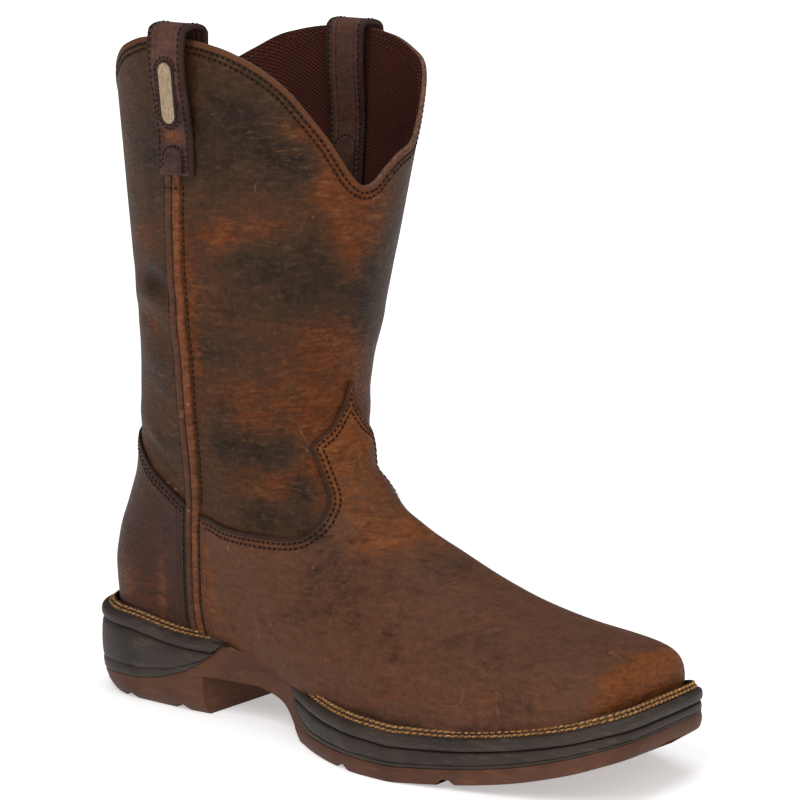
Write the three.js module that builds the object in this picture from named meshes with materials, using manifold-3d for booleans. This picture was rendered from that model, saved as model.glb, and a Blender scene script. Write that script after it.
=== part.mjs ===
// A pull-on western boot for the right foot: a leather upper on a stitched rubber sole.
// Millimetres. +X runs to the toe, +Y to the inner side of the foot, +Z up.
// The origin is the middle of the heel tread, on the floor.

import * as THREE from 'three';
import Module from 'manifold-3d';

const wasm = await Module();
wasm.setup();

// Driving sizes
const soleLength = 314.6;
const heelBehind = 44.6;
const ballWidth = 112;
const bootHeight = 313;
const instepHeight = 110;
const heelRim = 42;
const foreSole = 21.6;
const toeSpring = 22.5;

// Shares of the driving sizes
const along = (share) => share * soleLength - heelBehind;
const across = (share) => share * ballWidth;

// Wall, gaps and the layers of the sole
const upperWall = 2.2;
const overlay = 1.2;
const clearance = 0.3;
const gumSole = 7;
const ribHeight = 5.6;
const weltWidth = 7.6;
const insoleThickness = 3.2;
const toeGap = 9.8;
const heelGap = 8.2;

// The side seam, its two beads, and the pull straps
const beadWidth = 3.8;
const beadGap = 0.7;
const beadHeight = 1.8;
const beadSeat = 0.2;
const strapWidth = 21.4;
const strapThickness = 2.4;
const strapSeat = 0.1;
const strapStand = 7.5;
const strapRise = 5.6;
const strapLean = 1;
const strapSlant = 4.5;
const badgeWidth = 9;
const badgeHeight = 27;
const badgeThickness = 0.8;

// How finely the surfaces are divided
const around = 20;
const footRows = 15;
const legRows = 7;

// A smooth curve through the rows of a table that never overshoots them.
function curve(xs, ys) {
  const n = xs.length;
  const step = [];
  const rise = [];
  for (let i = 0; i < n - 1; i++) {
    step.push(xs[i + 1] - xs[i]);
    rise.push((ys[i + 1] - ys[i]) / step[i]);
  }
  const slope = [rise[0]];
  for (let i = 1; i < n - 1; i++) {
    const a = 2 * step[i] + step[i - 1];
    const b = step[i] + 2 * step[i - 1];
    const turns = rise[i - 1] * rise[i] <= 0;
    slope.push(turns ? 0 : (a + b) / (a / rise[i - 1] + b / rise[i]));
  }
  slope.push(rise[n - 2]);
  return (at) => {
    const x = Math.min(Math.max(at, xs[0]), xs[n - 1]);
    let i = 0;
    while (i < n - 2 && x > xs[i + 1]) i++;
    const t = (x - xs[i]) / step[i];
    const s = 1 - t;
    return ys[i] * (1 + 2 * t) * s * s + slope[i] * step[i] * t * s * s
      + ys[i + 1] * t * t * (3 - 2 * t) + slope[i + 1] * step[i] * t * t * (t - 1);
  };
}

// Turns rows of numbers into one curve for each named column, read against the first column.
function table(columns, scales, rows) {
  const xs = rows.map((row) => scales[0](row[0]));
  const made = { keys: xs };
  columns.slice(1).forEach((name, k) => {
    made[name] = curve(xs, rows.map((row) => scales[k + 1](row[k + 1])));
  });
  return made;
}

const plain = (value) => value;

// The sole seen from above and from its side, a row for each station from the heel to the toe.
const sole = table(
  ['along', 'outer', 'inner', 'ledge', 'climb', 'spring', 'taper'],
  [along, across, across, plain, plain, plain, plain],
  [
    [0.000, 0.344, 0.340, 1.00, 1.00, 0.00, 1.00],
    [0.110, 0.344, 0.340, 1.00, 0.96, 0.00, 1.00],
    [0.172, 0.344, 0.335, 1.00, 0.83, 0.00, 1.00],
    [0.220, 0.342, 0.321, 1.00, 0.75, 0.00, 1.00],
    [0.299, 0.321, 0.295, 0.85, 0.71, 0.00, 1.00],
    [0.350, 0.307, 0.277, 0.68, 0.55, 0.00, 1.00],
    [0.395, 0.299, 0.268, 0.60, 0.37, 0.00, 1.00],
    [0.452, 0.357, 0.295, 0.70, 0.15, 0.00, 1.00],
    [0.506, 0.442, 0.339, 0.88, 0.08, 0.00, 1.00],
    [0.567, 0.513, 0.384, 0.96, 0.03, 0.00, 1.00],
    [0.618, 0.546, 0.424, 1.00, 0.01, 0.00, 1.00],
    [0.665, 0.550, 0.450, 1.00, 0.00, 0.00, 0.98],
    [0.707, 0.531, 0.464, 0.96, 0.00, 0.04, 0.96],
    [0.761, 0.496, 0.464, 0.92, 0.00, 0.11, 0.93],
    [0.844, 0.451, 0.436, 0.90, 0.00, 0.30, 0.91],
    [0.924, 0.402, 0.378, 0.86, 0.00, 0.60, 0.86],
    [0.975, 0.375, 0.340, 0.80, 0.00, 0.85, 0.83],
    [1.000, 0.366, 0.325, 0.80, 0.00, 0.96, 0.81],
  ],
);
const soleBack = along(0);
const soleToe = along(1);
const floorAt = (x) => toeSpring * sole.spring(x);
const rimAt = (x) => floorAt(x) + foreSole * sole.taper(x) + (heelRim - foreSole) * sole.climb(x);
const seatAt = (x) => rimAt(x) - ribHeight;
const gumAt = (x) => floorAt(x) + gumSole;
const toeFront = soleToe - toeGap;
const beyond = 10;

// Heights are shares too. The lowest follow the sole at the toe, then the instep, and then the leg.
const heightKnots = [
  [0, 0],
  [0.1, seatAt(toeFront)],
  [0.351, instepHeight],
  [1, bootHeight],
];
function up(share) {
  let i = 0;
  while (i < heightKnots.length - 2 && share > heightKnots[i + 1][0]) i++;
  const [from, low] = heightKnots[i];
  const [to, high] = heightKnots[i + 1];
  return low + (share - from) / (to - from) * (high - low);
}

const strapAlong = { outer: along(0.3007), inner: along(0.3055) };
const strapFoot = up(0.808);
const strapInnerFoot = up(0.73);
const badgeRaise = up(0.923);

// The front line of the boot, from the toe's foot over the instep and up the leg.
const ridgeRows = [
  [0.969, 0.109, 0.310, 0.290, 0.050, 3.2],
  [0.968, 0.138, 0.320, 0.300, 0.050, 3.2],
  [0.961, 0.166, 0.345, 0.330, 0.050, 3.2],
  [0.940, 0.180, 0.355, 0.336, 0.057, 3.0],
  [0.889, 0.189, 0.388, 0.362, 0.072, 2.8],
  [0.825, 0.198, 0.425, 0.394, 0.098, 2.6],
  [0.745, 0.217, 0.460, 0.412, 0.130, 2.4],
  [0.682, 0.243, 0.460, 0.400, 0.156, 2.2],
  [0.618, 0.275, 0.430, 0.375, 0.176, 2.1],
  [0.554, 0.308, 0.385, 0.350, 0.188, 2.0],
  [0.501, 0.351, 0.364, 0.342, 0.192, 2.0],
  [0.467, 0.396, 0.374, 0.360, 0.192, 2.0],
  [0.451, 0.437, 0.394, 0.385, 0.192, 2.0],
  [0.450, 0.479, 0.414, 0.412, 0.192, 2.0],
  [0.462, 0.543, 0.440, 0.443, 0.195, 2.0],
  [0.485, 0.639, 0.475, 0.485, 0.202, 2.0],
  [0.521, 0.799, 0.522, 0.536, 0.222, 2.0],
  [0.557, 0.958, 0.553, 0.570, 0.241, 2.0],
  [0.580, 1.086, 0.573, 0.592, 0.253, 2.0],
];
const ridgeLengths = [0];
for (let i = 1; i < ridgeRows.length; i++) {
  const run = along(ridgeRows[i][0]) - along(ridgeRows[i - 1][0]);
  const climb = up(ridgeRows[i][1]) - up(ridgeRows[i - 1][1]);
  ridgeLengths.push(ridgeLengths[i - 1] + Math.hypot(run, climb));
}
const ridge = table(
  ['arc', 'x', 'z', 'outer', 'inner', 'crown', 'square'],
  [plain, along, up, across, across, up, plain],
  ridgeRows.map((row, i) => [ridgeLengths[i], ...row]),
);

// The back line of the boot with the half width and the roundness of the back behind it.
const back = table(
  ['up', 'along', 'half', 'depth'],
  [up, along, across, up],
  [
    [0.096, 0.036, 0.270, 0.102],
    [0.144, 0.030, 0.275, 0.102],
    [0.198, 0.026, 0.277, 0.102],
    [0.249, 0.035, 0.280, 0.105],
    [0.304, 0.058, 0.296, 0.115],
    [0.358, 0.078, 0.326, 0.137],
    [0.415, 0.086, 0.370, 0.163],
    [0.479, 0.092, 0.410, 0.182],
    [0.543, 0.098, 0.437, 0.192],
    [0.639, 0.096, 0.473, 0.202],
    [0.799, 0.088, 0.522, 0.222],
    [0.958, 0.076, 0.553, 0.241],
    [1.086, 0.068, 0.573, 0.253],
  ],
);
const bend = { x: along(0.697), z: up(0.607) };
const toeDepth = 0.143 * soleLength;
const toeSquare = 5;
const heelBack = soleBack + heelGap;
const backRound = 2.15;
const bellyHeight = up(0.083);
const legFrom = along(0.156);
const legTo = along(0.459);

// How far a section has rounded over: 0 at its edge and 1 a whole depth inside it.
function rounded(share, power) {
  const t = Math.min(Math.max(share, 0), 1);
  return (1 - (1 - t) ** power) ** (1 / power);
}

// The turn about the bend's centre that orders points from the toe round to the leg.
function turnOf(x, z) {
  if (z >= bend.z) return bend.z - z;
  if (x >= bend.x) return Math.PI / 2 * bend.z + (x - bend.x);
  return Math.atan2(bend.z - z, bend.x - x) * bend.z;
}
const ridgeSteps = 900;
const ridgeEnd = ridgeLengths[ridgeLengths.length - 1];
const ridgeWalk = [];
for (let i = 0; i <= ridgeSteps; i++) {
  const arc = ridgeEnd * i / ridgeSteps;
  const x = ridge.x(arc);
  const z = ridge.z(arc);
  ridgeWalk.push({ arc, x, z, turn: turnOf(x, z) });
}

// The point of the front line that lies abreast of a place inside the boot.
function abreast(x, z) {
  const turn = turnOf(x, z);
  let low = 0;
  let high = ridgeSteps;
  while (high - low > 1) {
    const middle = (low + high) >> 1;
    if (ridgeWalk[middle].turn >= turn) low = middle;
    else high = middle;
  }
  const a = ridgeWalk[low];
  const b = ridgeWalk[high];
  const t = Math.min(Math.max((a.turn - turn) / (a.turn - b.turn || 1), 0), 1);
  return { arc: a.arc + t * (b.arc - a.arc), x: a.x + t * (b.x - a.x), z: a.z + t * (b.z - a.z) };
}

// Half the boot's width at a place in its side view; side is -1 outside and 1 inside.
function halfWidth(x, z, side) {
  const at = abreast(x, z);
  let under = Math.hypot(x - bend.x, z - bend.z) - Math.hypot(at.x - bend.x, at.z - bend.z);
  if (z >= bend.z) under = at.x - x;
  else if (x >= bend.x) under = at.z - z;
  const fore = (side < 0 ? ridge.outer : ridge.inner)(at.arc);
  const blend = Math.min(Math.max((x - legFrom) / (legTo - legFrom), 0), 1);
  const front = blend * blend * (3 - 2 * blend);
  const body = back.half(z) * (1 - front) + fore * front;
  const sunk = 1 - Math.min(Math.max((z - seatAt(x)) / bellyHeight, 0), 1);
  const edge = (side < 0 ? sole.outer : sole.inner)(x) - weltWidth * sole.ledge(x);
  const width = edge * sunk * sunk + body * (1 - sunk * sunk);
  return width
    * rounded(under / ridge.crown(at.arc), ridge.square(at.arc))
    * rounded((x - back.along(z)) / back.depth(z), backRound)
    * rounded((toeFront - x) / toeDepth, toeSquare);
}

// Points spread evenly along a line of points.
function spread(points, count) {
  const lengths = [0];
  for (let i = 1; i < points.length; i++) lengths.push(lengths[i - 1] + points[i].distanceTo(points[i - 1]));
  const total = lengths[points.length - 1];
  const out = [];
  let i = 0;
  for (let k = 0; k <= count; k++) {
    const want = total * k / count;
    while (i < points.length - 2 && lengths[i + 1] < want) i++;
    const t = (want - lengths[i]) / (lengths[i + 1] - lengths[i] || 1);
    out.push(new THREE.Vector3().lerpVectors(points[i], points[i + 1], Math.min(t, 1)));
  }
  return out;
}

// Half a ring of the boot between a front and a back point, on one side.
function halfRing(front, rear, side, sag) {
  const fine = 120;
  const points = [];
  const chord = (x) => seatAt(rear.x) + (seatAt(front.x) - seatAt(rear.x)) * (x - rear.x) / (front.x - rear.x);
  for (let i = 0; i <= fine; i++) {
    const share = (1 + Math.cos(Math.PI * i / fine)) / 2;
    const x = rear.x + (front.x - rear.x) * share;
    const z = rear.z + (front.z - rear.z) * share + sag * (seatAt(x) - chord(x));
    const y = i === 0 || i === fine ? 0 : side * halfWidth(x, z, side);
    points.push(new THREE.Vector3(x, y, z));
  }
  return spread(points, around);
}

// Joins the two halves of a ring: front, outer side, back, inner side.
function wholeRing(outer, inner) {
  return [...outer, ...inner.slice(1, around).reverse()];
}

// The rings of the foot, by the share of the front line and the back height that each joins.
const ankle = { up: 0.543, arc: 0 };
ankle.arc = ridgeWalk.find((step) => step.x < bend.x && step.z >= up(ankle.up)).arc;
const ringTable = table(
  ['row', 'front', 'back', 'sag'],
  [plain, plain, plain, plain],
  [
    [0.00, 0.000, 0.000, 1.00],
    [0.06, 0.034, 0.012, 0.90],
    [0.13, 0.069, 0.028, 0.80],
    [0.20, 0.110, 0.048, 0.69],
    [0.28, 0.180, 0.080, 0.58],
    [0.36, 0.270, 0.125, 0.46],
    [0.44, 0.365, 0.180, 0.36],
    [0.52, 0.450, 0.240, 0.27],
    [0.60, 0.540, 0.320, 0.18],
    [0.68, 0.635, 0.430, 0.11],
    [0.76, 0.730, 0.560, 0.05],
    [0.84, 0.815, 0.700, 0.01],
    [0.92, 0.905, 0.850, 0.00],
    [1.00, 1.000, 1.000, 0.00],
  ],
);

// The scalloped top edge: low in front and behind, high at both sides.
const collar = table(
  ['around', 'outer', 'inner'],
  [plain, up, up],
  [
    [0.00, 0.813, 0.813],
    [0.03, 0.796, 0.827],
    [0.055, 0.791, 0.835],
    [0.08, 0.798, 0.840],
    [0.10, 0.810, 0.843],
    [0.13, 0.834, 0.853],
    [0.16, 0.859, 0.876],
    [0.20, 0.888, 0.918],
    [0.26, 0.930, 0.957],
    [0.33, 0.963, 0.976],
    [0.41, 0.986, 0.995],
    [0.50, 0.998, 1.006],
    [0.58, 1.000, 1.008],
    [0.68, 0.988, 0.998],
    [0.76, 0.962, 0.972],
    [0.85, 0.930, 0.938],
    [0.94, 0.907, 0.911],
    [1.00, 0.902, 0.902],
  ],
);

function footRing(row) {
  const arc = ringTable.front(row) * ankle.arc;
  const z = seatAt(heelBack) + ringTable.back(row) * (up(ankle.up) - seatAt(heelBack));
  const front = { x: ridge.x(arc), z: row === 0 ? seatAt(toeFront) : ridge.z(arc) };
  const rear = { x: back.along(z), z };
  const sag = ringTable.sag(row);
  return wholeRing(halfRing(front, rear, -1, sag), halfRing(front, rear, 1, sag));
}

// A level section of the leg at any height above the ankle.
function legSection(z, side) {
  const front = z >= bend.z ? abreast(legTo, z) : ridgeWalk.find((step) => step.x < bend.x && step.z >= z);
  return halfRing({ x: front.x, z }, { x: back.along(z), z }, side, 0);
}

function legRing(share) {
  const base = up(ankle.up);
  const halves = [-1, 1].map((side) => {
    const points = [];
    for (let j = 0; j <= around; j++) {
      const top = (side < 0 ? collar.outer : collar.inner)(j / around);
      const z = base + (top - base) * share;
      points.push(legSection(z, side)[j]);
    }
    return points;
  });
  return wholeRing(halves[0], halves[1]);
}

const surface = [];
for (let i = 0; i <= footRows; i++) surface.push(footRing(i / footRows));
for (let i = 1; i <= legRows; i++) surface.push(legRing(i / legRows));

// The surface moved out or in along its own normals, and its lowest ring on the level.
function moved(rings, distance) {
  const count = rings[0].length;
  return rings.map((ring, i) => ring.map((point, j) => {
    const below = rings[Math.max(i - 1, 0)][j];
    const above = rings[Math.min(i + 1, rings.length - 1)][j];
    const before = ring[(j + count - 1) % count];
    const after = ring[(j + 1) % count];
    const rise = above.clone().sub(below);
    const turn = after.clone().sub(before);
    const normal = rise.cross(turn);
    if (i === 0) normal.z = 0;
    normal.normalize();
    return point.clone().addScaledVector(normal, distance);
  }));
}

// A closed solid from flat lists of points and triangles.
function solid(points, triangles) {
  const vertProperties = new Float32Array(points.length * 3);
  points.forEach((point, i) => vertProperties.set([point.x, point.y, point.z], i * 3));
  const triVerts = new Uint32Array(triangles.flat());
  return new wasm.Manifold(new wasm.Mesh({ numProp: 3, vertProperties, triVerts }));
}

function bandTriangles(lower, upper, count) {
  const out = [];
  for (let j = 0; j < count; j++) {
    const k = (j + 1) % count;
    out.push([lower + j, upper + j, lower + k], [upper + j, upper + k, lower + k]);
  }
  return out;
}

// Closes a ring with strips that run straight across it; facing is -1 below and 1 above.
function capTriangles(start, count, facing) {
  const half = count / 2;
  const out = [];
  for (let j = 0; j < half; j++) {
    const a = start + j;
    const b = start + j + 1;
    const c = start + (count - j - 1) % count;
    const d = start + (count - j) % count;
    if (b !== c) out.push([a, b, c]);
    if (a !== d) out.push([a, c, d]);
  }
  return facing < 0 ? out : out.map(([a, b, c]) => [a, c, b]);
}

// A stack of rings closed at both ends.
function stack(rings) {
  const count = rings[0].length;
  const triangles = capTriangles(0, count, -1);
  for (let i = 0; i + 1 < rings.length; i++) {
    triangles.push(...bandTriangles(i * count, (i + 1) * count, count));
  }
  triangles.push(...capTriangles((rings.length - 1) * count, count, 1));
  return solid(rings.flat(), triangles);
}

// An open shell between an outer and an inner stack of rings, joined at its two edges.
function shell(outer, inner) {
  const rings = [...outer, ...inner.slice().reverse()];
  const count = rings[0].length;
  const triangles = [];
  for (let i = 0; i < rings.length; i++) {
    triangles.push(...bandTriangles(i * count, ((i + 1) % rings.length) * count, count));
  }
  return solid(rings.flat(), triangles);
}

// A solid with one outline in the side view, right through the boot.
function sideCut(outline) {
  const shape = new THREE.Shape(outline.map(([x, z]) => new THREE.Vector2(x, z)));
  const geometry = new THREE.ExtrudeGeometry(shape, { depth: 4 * ballWidth, bevelEnabled: false });
  geometry.rotateX(Math.PI / 2);
  geometry.translate(0, 2 * ballWidth, 0);
  return fromGeometry(geometry);
}

// A solid with one outline in the front view, ahead of the middle of the leg.
function frontCut(outline) {
  const shape = new THREE.Shape(outline.map(([y, z]) => new THREE.Vector2(y, z)));
  const geometry = new THREE.ExtrudeGeometry(shape, { depth: soleLength, bevelEnabled: false });
  const turned = new THREE.Matrix4().makeBasis(
    new THREE.Vector3(0, 1, 0),
    new THREE.Vector3(0, 0, 1),
    new THREE.Vector3(1, 0, 0),
  );
  geometry.applyMatrix4(turned);
  geometry.translate(legFrom, 0, 0);
  return fromGeometry(geometry);
}

function fromGeometry(geometry) {
  const position = geometry.getAttribute('position');
  const seen = new Map();
  const points = [];
  const order = [];
  const total = geometry.index ? geometry.index.count : position.count;
  for (let i = 0; i < total; i++) {
    const at = geometry.index ? geometry.index.getX(i) : i;
    const point = new THREE.Vector3().fromBufferAttribute(position, at);
    const key = point.toArray().map((value) => Math.round(value * 1e4)).join();
    if (!seen.has(key)) {
      seen.set(key, points.length);
      points.push(point);
    }
    order.push(seen.get(key));
  }
  const triangles = [];
  for (let i = 0; i < order.length; i += 3) triangles.push(order.slice(i, i + 3));
  return solid(points, triangles);
}

const group = new THREE.Group();

function add(name, made, look) {
  const mesh = made.getMesh();
  const geometry = new THREE.BufferGeometry();
  geometry.setAttribute('position', new THREE.BufferAttribute(new Float32Array(mesh.vertProperties), 3));
  geometry.setIndex(new THREE.BufferAttribute(new Uint32Array(mesh.triVerts), 1));
  geometry.computeVertexNormals();
  const material = new THREE.MeshStandardMaterial({ metalness: 0, ...look });
  const node = new THREE.Mesh(geometry, material);
  node.name = name;
  group.add(node);
}

const looks = {
  leather: { color: '#5f3a26', roughness: 0.6 },
  vamp: { color: '#6b4029', roughness: 0.58 },
  counter: { color: '#482a22', roughness: 0.55 },
  strap: { color: '#503028', roughness: 0.6 },
  bead: { color: '#5a3422', roughness: 0.6 },
  insole: { color: '#3a2a24', roughness: 0.9 },
  rubber: { color: '#3e3732', roughness: 0.75 },
  gum: { color: '#6c402e', roughness: 0.7 },
  badge: { color: '#bea582', roughness: 0.7 },
};

// The upper's own forms
const form = (distance) => stack(moved(surface, distance));
const hairline = 0.01;

// The room that the upper and its panels take, down to a depth below the seat.
function clearForm(depth) {
  const rings = moved(surface, 2 * clearance + overlay);
  const foot = rings[0].map((point) => new THREE.Vector3(point.x, point.y, point.z - depth));
  return stack([foot, ...rings]);
}
const seatForm = clearForm(clearance + hairline);
const throughForm = clearForm(ribHeight / 2);

// The side view outlines of the vamp's tongue and of the counter behind the side seam.
const seam = table(
  ['up', 'along'],
  [up, along],
  [
    [0.09, 0.248],
    [0.19, 0.240],
    [0.26, 0.242],
    [0.33, 0.254],
    [0.41, 0.265],
    [0.48, 0.272],
    [0.64, 0.277],
    [0.72, 0.283],
    [0.80, 0.292],
    [0.85, 0.299],
  ],
);
// The tongue's point seen from the front, as half widths, and its lower edge seen from the side.
const tongueTip = [
  [0.196, 0.417],
  [0.155, 0.430],
  [0.105, 0.443],
  [0.063, 0.460],
  [0.039, 0.474],
  [0.021, 0.497],
  [0.000, 0.513],
];
const tongueSide = [
  [0.431, 0.417],
  [0.442, 0.393],
  [0.453, 0.373],
  [0.464, 0.354],
  [0.470, 0.338],
  [0.469, 0.321],
  [0.461, 0.307],
  [0.444, 0.295],
  [0.413, 0.292],
  [0.372, 0.293],
  [0.319, 0.296],
  [0.276, 0.305],
];
const counterRows = [
  [0.232, 0.318],
  [0.222, 0.327],
  [0.199, 0.343],
  [0.170, 0.362],
  [0.137, 0.389],
  [0.112, 0.406],
  [0.085, 0.421],
  [0.060, 0.428],
];
const seamHalf = beadWidth + beadGap / 2 + clearance;
const place = ([x, z]) => [along(x), up(z)];

function seamEdge(offset, top, bottom, count) {
  const out = [];
  for (let i = 0; i <= count; i++) {
    const z = top + (bottom - top) * i / count;
    out.push([seam.along(z) + offset, z]);
  }
  return out;
}

function seatEdge(from, to, count) {
  const out = [];
  for (let i = 0; i <= count; i++) {
    const x = from + (to - from) * i / count;
    out.push([x, seatAt(x) + clearance]);
  }
  return out;
}

const overlayForm = form(clearance + overlay).subtract(form(clearance));

function makeVamp() {
  const tongue = tongueSide.map(place);
  const sideTop = tongue[tongue.length - 1][1];
  const start = seam.along(seatAt(seam.along(up(0.1)))) + seamHalf;
  const sideOutline = [
    ...tongue,
    ...seamEdge(seamHalf, sideTop, seatAt(start) + 1, 8),
    ...seatEdge(start, soleToe, 22),
    [forwards, seatAt(soleToe)],
    [forwards, tongue[0][1]],
  ];
  const right = tongueTip.map(([y, z]) => [across(y), up(z)]);
  const left = right.slice(0, -1).reverse().map(([y, z]) => [-y, z]);
  const tip = frontCut([...right, ...left, [-right[0][0], right[0][1] - 1], [right[0][0], right[0][1] - 1]]);
  return overlayForm.intersect(sideCut(sideOutline).add(tip));
}

function makeCounter() {
  const top = counterRows.map(place);
  const end = seam.along(seatAt(seam.along(up(0.1)))) - seamHalf;
  const outline = [
    ...top,
    [backwards, top[top.length - 1][1]],
    [backwards, seatAt(soleBack)],
    ...seatEdge(soleBack, end, 8),
    ...seamEdge(-seamHalf, seatAt(end) + 1, top[0][1], 8),
  ];
  return overlayForm.intersect(sideCut(outline.reverse()));
}

// A place on the surface, moved out along its normal.
function onSurface(x, z, side, distance) {
  const step = 0.5;
  const y = halfWidth(x, z, side);
  const slopeX = (halfWidth(x + step, z, side) - halfWidth(x - step, z, side)) / (2 * step);
  const slopeZ = (halfWidth(x, z + step, side) - halfWidth(x, z - step, side)) / (2 * step);
  const normal = new THREE.Vector3(-slopeX, 1, -slopeZ).normalize();
  return new THREE.Vector3(
    x + normal.x * distance,
    side * (y + normal.y * distance),
    z + normal.z * distance,
  );
}

// A closed solid through sections that each list the same number of points in order.
function loft(sections) {
  const count = sections[0].length;
  const triangles = [];
  for (let i = 0; i + 1 < sections.length; i++) {
    triangles.push(...bandTriangles(i * count, (i + 1) * count, count));
  }
  const last = (sections.length - 1) * count;
  for (let j = 1; j + 1 < count; j++) {
    triangles.push([0, j, j + 1], [last, last + j + 1, last + j]);
  }
  const made = solid(sections.flat(), triangles);
  if (made.volume() > 0) return made;
  return solid(sections.flat(), triangles.map(([a, b, c]) => [a, c, b]));
}

function makeBead(side, offset) {
  const rows = 20;
  const sections = [];
  for (let i = 0; i <= rows; i++) {
    const low = rimAt(seam.along(seatAt(breast)) - beadWidth) + 2 * clearance;
    const z = low + (strapFoot - 2 * clearance - low) * i / rows;
    const x = seam.along(z) + offset;
    const section = [
      onSurface(x - beadWidth / 2, z, side, clearance + beadSeat),
      onSurface(x + beadWidth / 2, z, side, clearance + beadSeat),
      onSurface(x + beadWidth / 2, z, side, clearance + 0.6 * beadHeight),
      onSurface(x + beadWidth / 4, z, side, clearance + beadHeight),
      onSurface(x - beadWidth / 4, z, side, clearance + beadHeight),
      onSurface(x - beadWidth / 2, z, side, clearance + 0.6 * beadHeight),
    ];
    sections.push(section);
  }
  return loft(sections);
}

// The pull strap's path: out is measured from the leg's outer face, negative inside.
function strapPath(count) {
  const outside = clearance + strapThickness / 2 + strapSeat;
  const inside = -upperWall - outside;
  const peak = collar.outer(0.5) + strapRise;
  const middle = (outside + inside) / 2;
  const points = [
    [outside, strapFoot],
    [outside, strapFoot + 0.2 * (peak - strapFoot)],
    [outside + 0.25 * strapStand, strapFoot + 0.42 * (peak - strapFoot)],
    [outside + 0.6 * strapStand, strapFoot + 0.62 * (peak - strapFoot)],
    [outside + 0.75 * strapStand, strapFoot + 0.8 * (peak - strapFoot)],
    [outside + 0.62 * strapStand, peak - 0.45 * strapRise],
    [outside + 0.25 * strapStand, peak - 0.12 * strapRise],
    [middle, peak],
    [inside - 0.25 * strapStand, peak - 0.12 * strapRise],
    [inside - 0.55 * strapStand, peak - 0.55 * strapRise],
    [inside - 0.5 * strapStand, strapFoot + 0.72 * (peak - strapFoot)],
    [inside - 0.2 * strapStand, strapFoot + 0.45 * (peak - strapFoot)],
    [inside, strapFoot + 0.25 * (peak - strapFoot)],
    [inside, strapInnerFoot],
  ];
  const line = new THREE.SplineCurve(points.map(([out, z]) => new THREE.Vector2(out, z)));
  return line.getSpacedPoints(count);
}

function strapSection(path, i, side) {
  const before = path[Math.max(i - 1, 0)];
  const after = path[Math.min(i + 1, path.length - 1)];
  const run = after.clone().sub(before).normalize();
  const raised = Math.max((path[i].y - strapFoot) / (collar.outer(0.5) - strapFoot), 0);
  const middle = side < 0 ? strapAlong.outer + strapSlant * raised : strapAlong.inner;
  return (share, depth) => {
    const out = path[i].x + run.y * depth;
    const z = path[i].y - run.x * depth - raised * share * strapLean / 2;
    const x = middle + share * strapWidth / 2;
    return new THREE.Vector3(x, side * (halfWidth(x, z, side) + out), z);
  };
}

function makeStrap(side) {
  const path = strapPath(28);
  const shares = [-1, -0.5, 0, 0.5, 1];
  const half = strapThickness / 2;
  const sections = path.map((point, i) => {
    const at = strapSection(path, i, side);
    return [
      ...shares.map((share) => at(share, half)),
      ...shares.slice().reverse().map((share) => at(share, -half)),
    ];
  });
  return loft(sections);
}

// The bare oval patch on the outer strap.
function makeBadge() {
  const leg = strapPath(60).filter((point, i, all) => i === 0 || point.y > all[i - 1].y + 0.5);
  const outAt = curve(leg.map((point) => point.y), leg.map((point) => point.x));
  const rows = 14;
  const sections = [];
  for (let i = 0; i <= rows; i++) {
    const turn = Math.PI * (0.04 + 0.92 * i / rows);
    const z = badgeRaise - badgeHeight / 2 * Math.cos(turn);
    const half = badgeWidth / 2 * Math.sin(turn) ** 0.8;
    const at = (share, lift) => {
      const raised = (z - strapFoot) / (collar.outer(0.5) - strapFoot);
      const x = strapAlong.outer + strapSlant * raised + share * half;
      const out = outAt(z) + strapThickness / 2 + clearance + lift;
      return new THREE.Vector3(x, -(halfWidth(x, z, -1) + out), z);
    };
    sections.push([at(-1, 0), at(1, 0), at(0.85, badgeThickness), at(-0.85, badgeThickness)]);
  }
  return loft(sections);
}

// The rings of the sole, each an inset copy of its outline at a height given along the boot.
const breast = along(0.2627);
const soleAround = 26;
const soleHeelDepth = 0.121 * soleLength;

function soleRing(inset, heightAt) {
  const [atHeel, atToe] = inset;
  const insetAt = (x) => {
    const t = Math.min(Math.max((x - breast) / (along(0.452) - breast), 0), 1);
    return atHeel + (atToe - atHeel) * t * t * (3 - 2 * t);
  };
  const halves = [-1, 1].map((side) => {
    const fine = 200;
    const points = [];
    for (let i = 0; i <= fine; i++) {
      const share = (1 + Math.cos(Math.PI * i / fine)) / 2;
      const x = soleBack + atHeel + (soleToe - atToe - soleBack - atHeel) * share;
      const width = (side < 0 ? sole.outer : sole.inner)(x) - insetAt(x);
      const close = rounded((x - soleBack - atHeel) / soleHeelDepth, backRound)
        * rounded((soleToe - atToe - x) / toeDepth, toeSquare);
      points.push(new THREE.Vector3(x, i === 0 || i === fine ? 0 : side * width * close, 0));
    }
    return spread(points, soleAround);
  });
  const ring = [...halves[0], ...halves[1].slice(1, soleAround).reverse()];
  return ring.map((point) => new THREE.Vector3(point.x, point.y, heightAt(point.x)));
}

// Insets of each level, at the heel and at the forefoot, from the tread up to the rim.
const soleBody = (insets) => stack([
  soleRing(insets.tread, (x) => floorAt(x)),
  soleRing(insets.foot, (x) => floorAt(x) + 0.3 * gumSole),
  soleRing(insets.gum, (x) => gumAt(x) - clearance),
  soleRing(insets.side, (x) => 0.5 * (gumAt(x) + seatAt(x))),
  soleRing(insets.groove, (x) => seatAt(x)),
  soleRing(insets.rim, (x) => rimAt(x)),
]);

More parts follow.
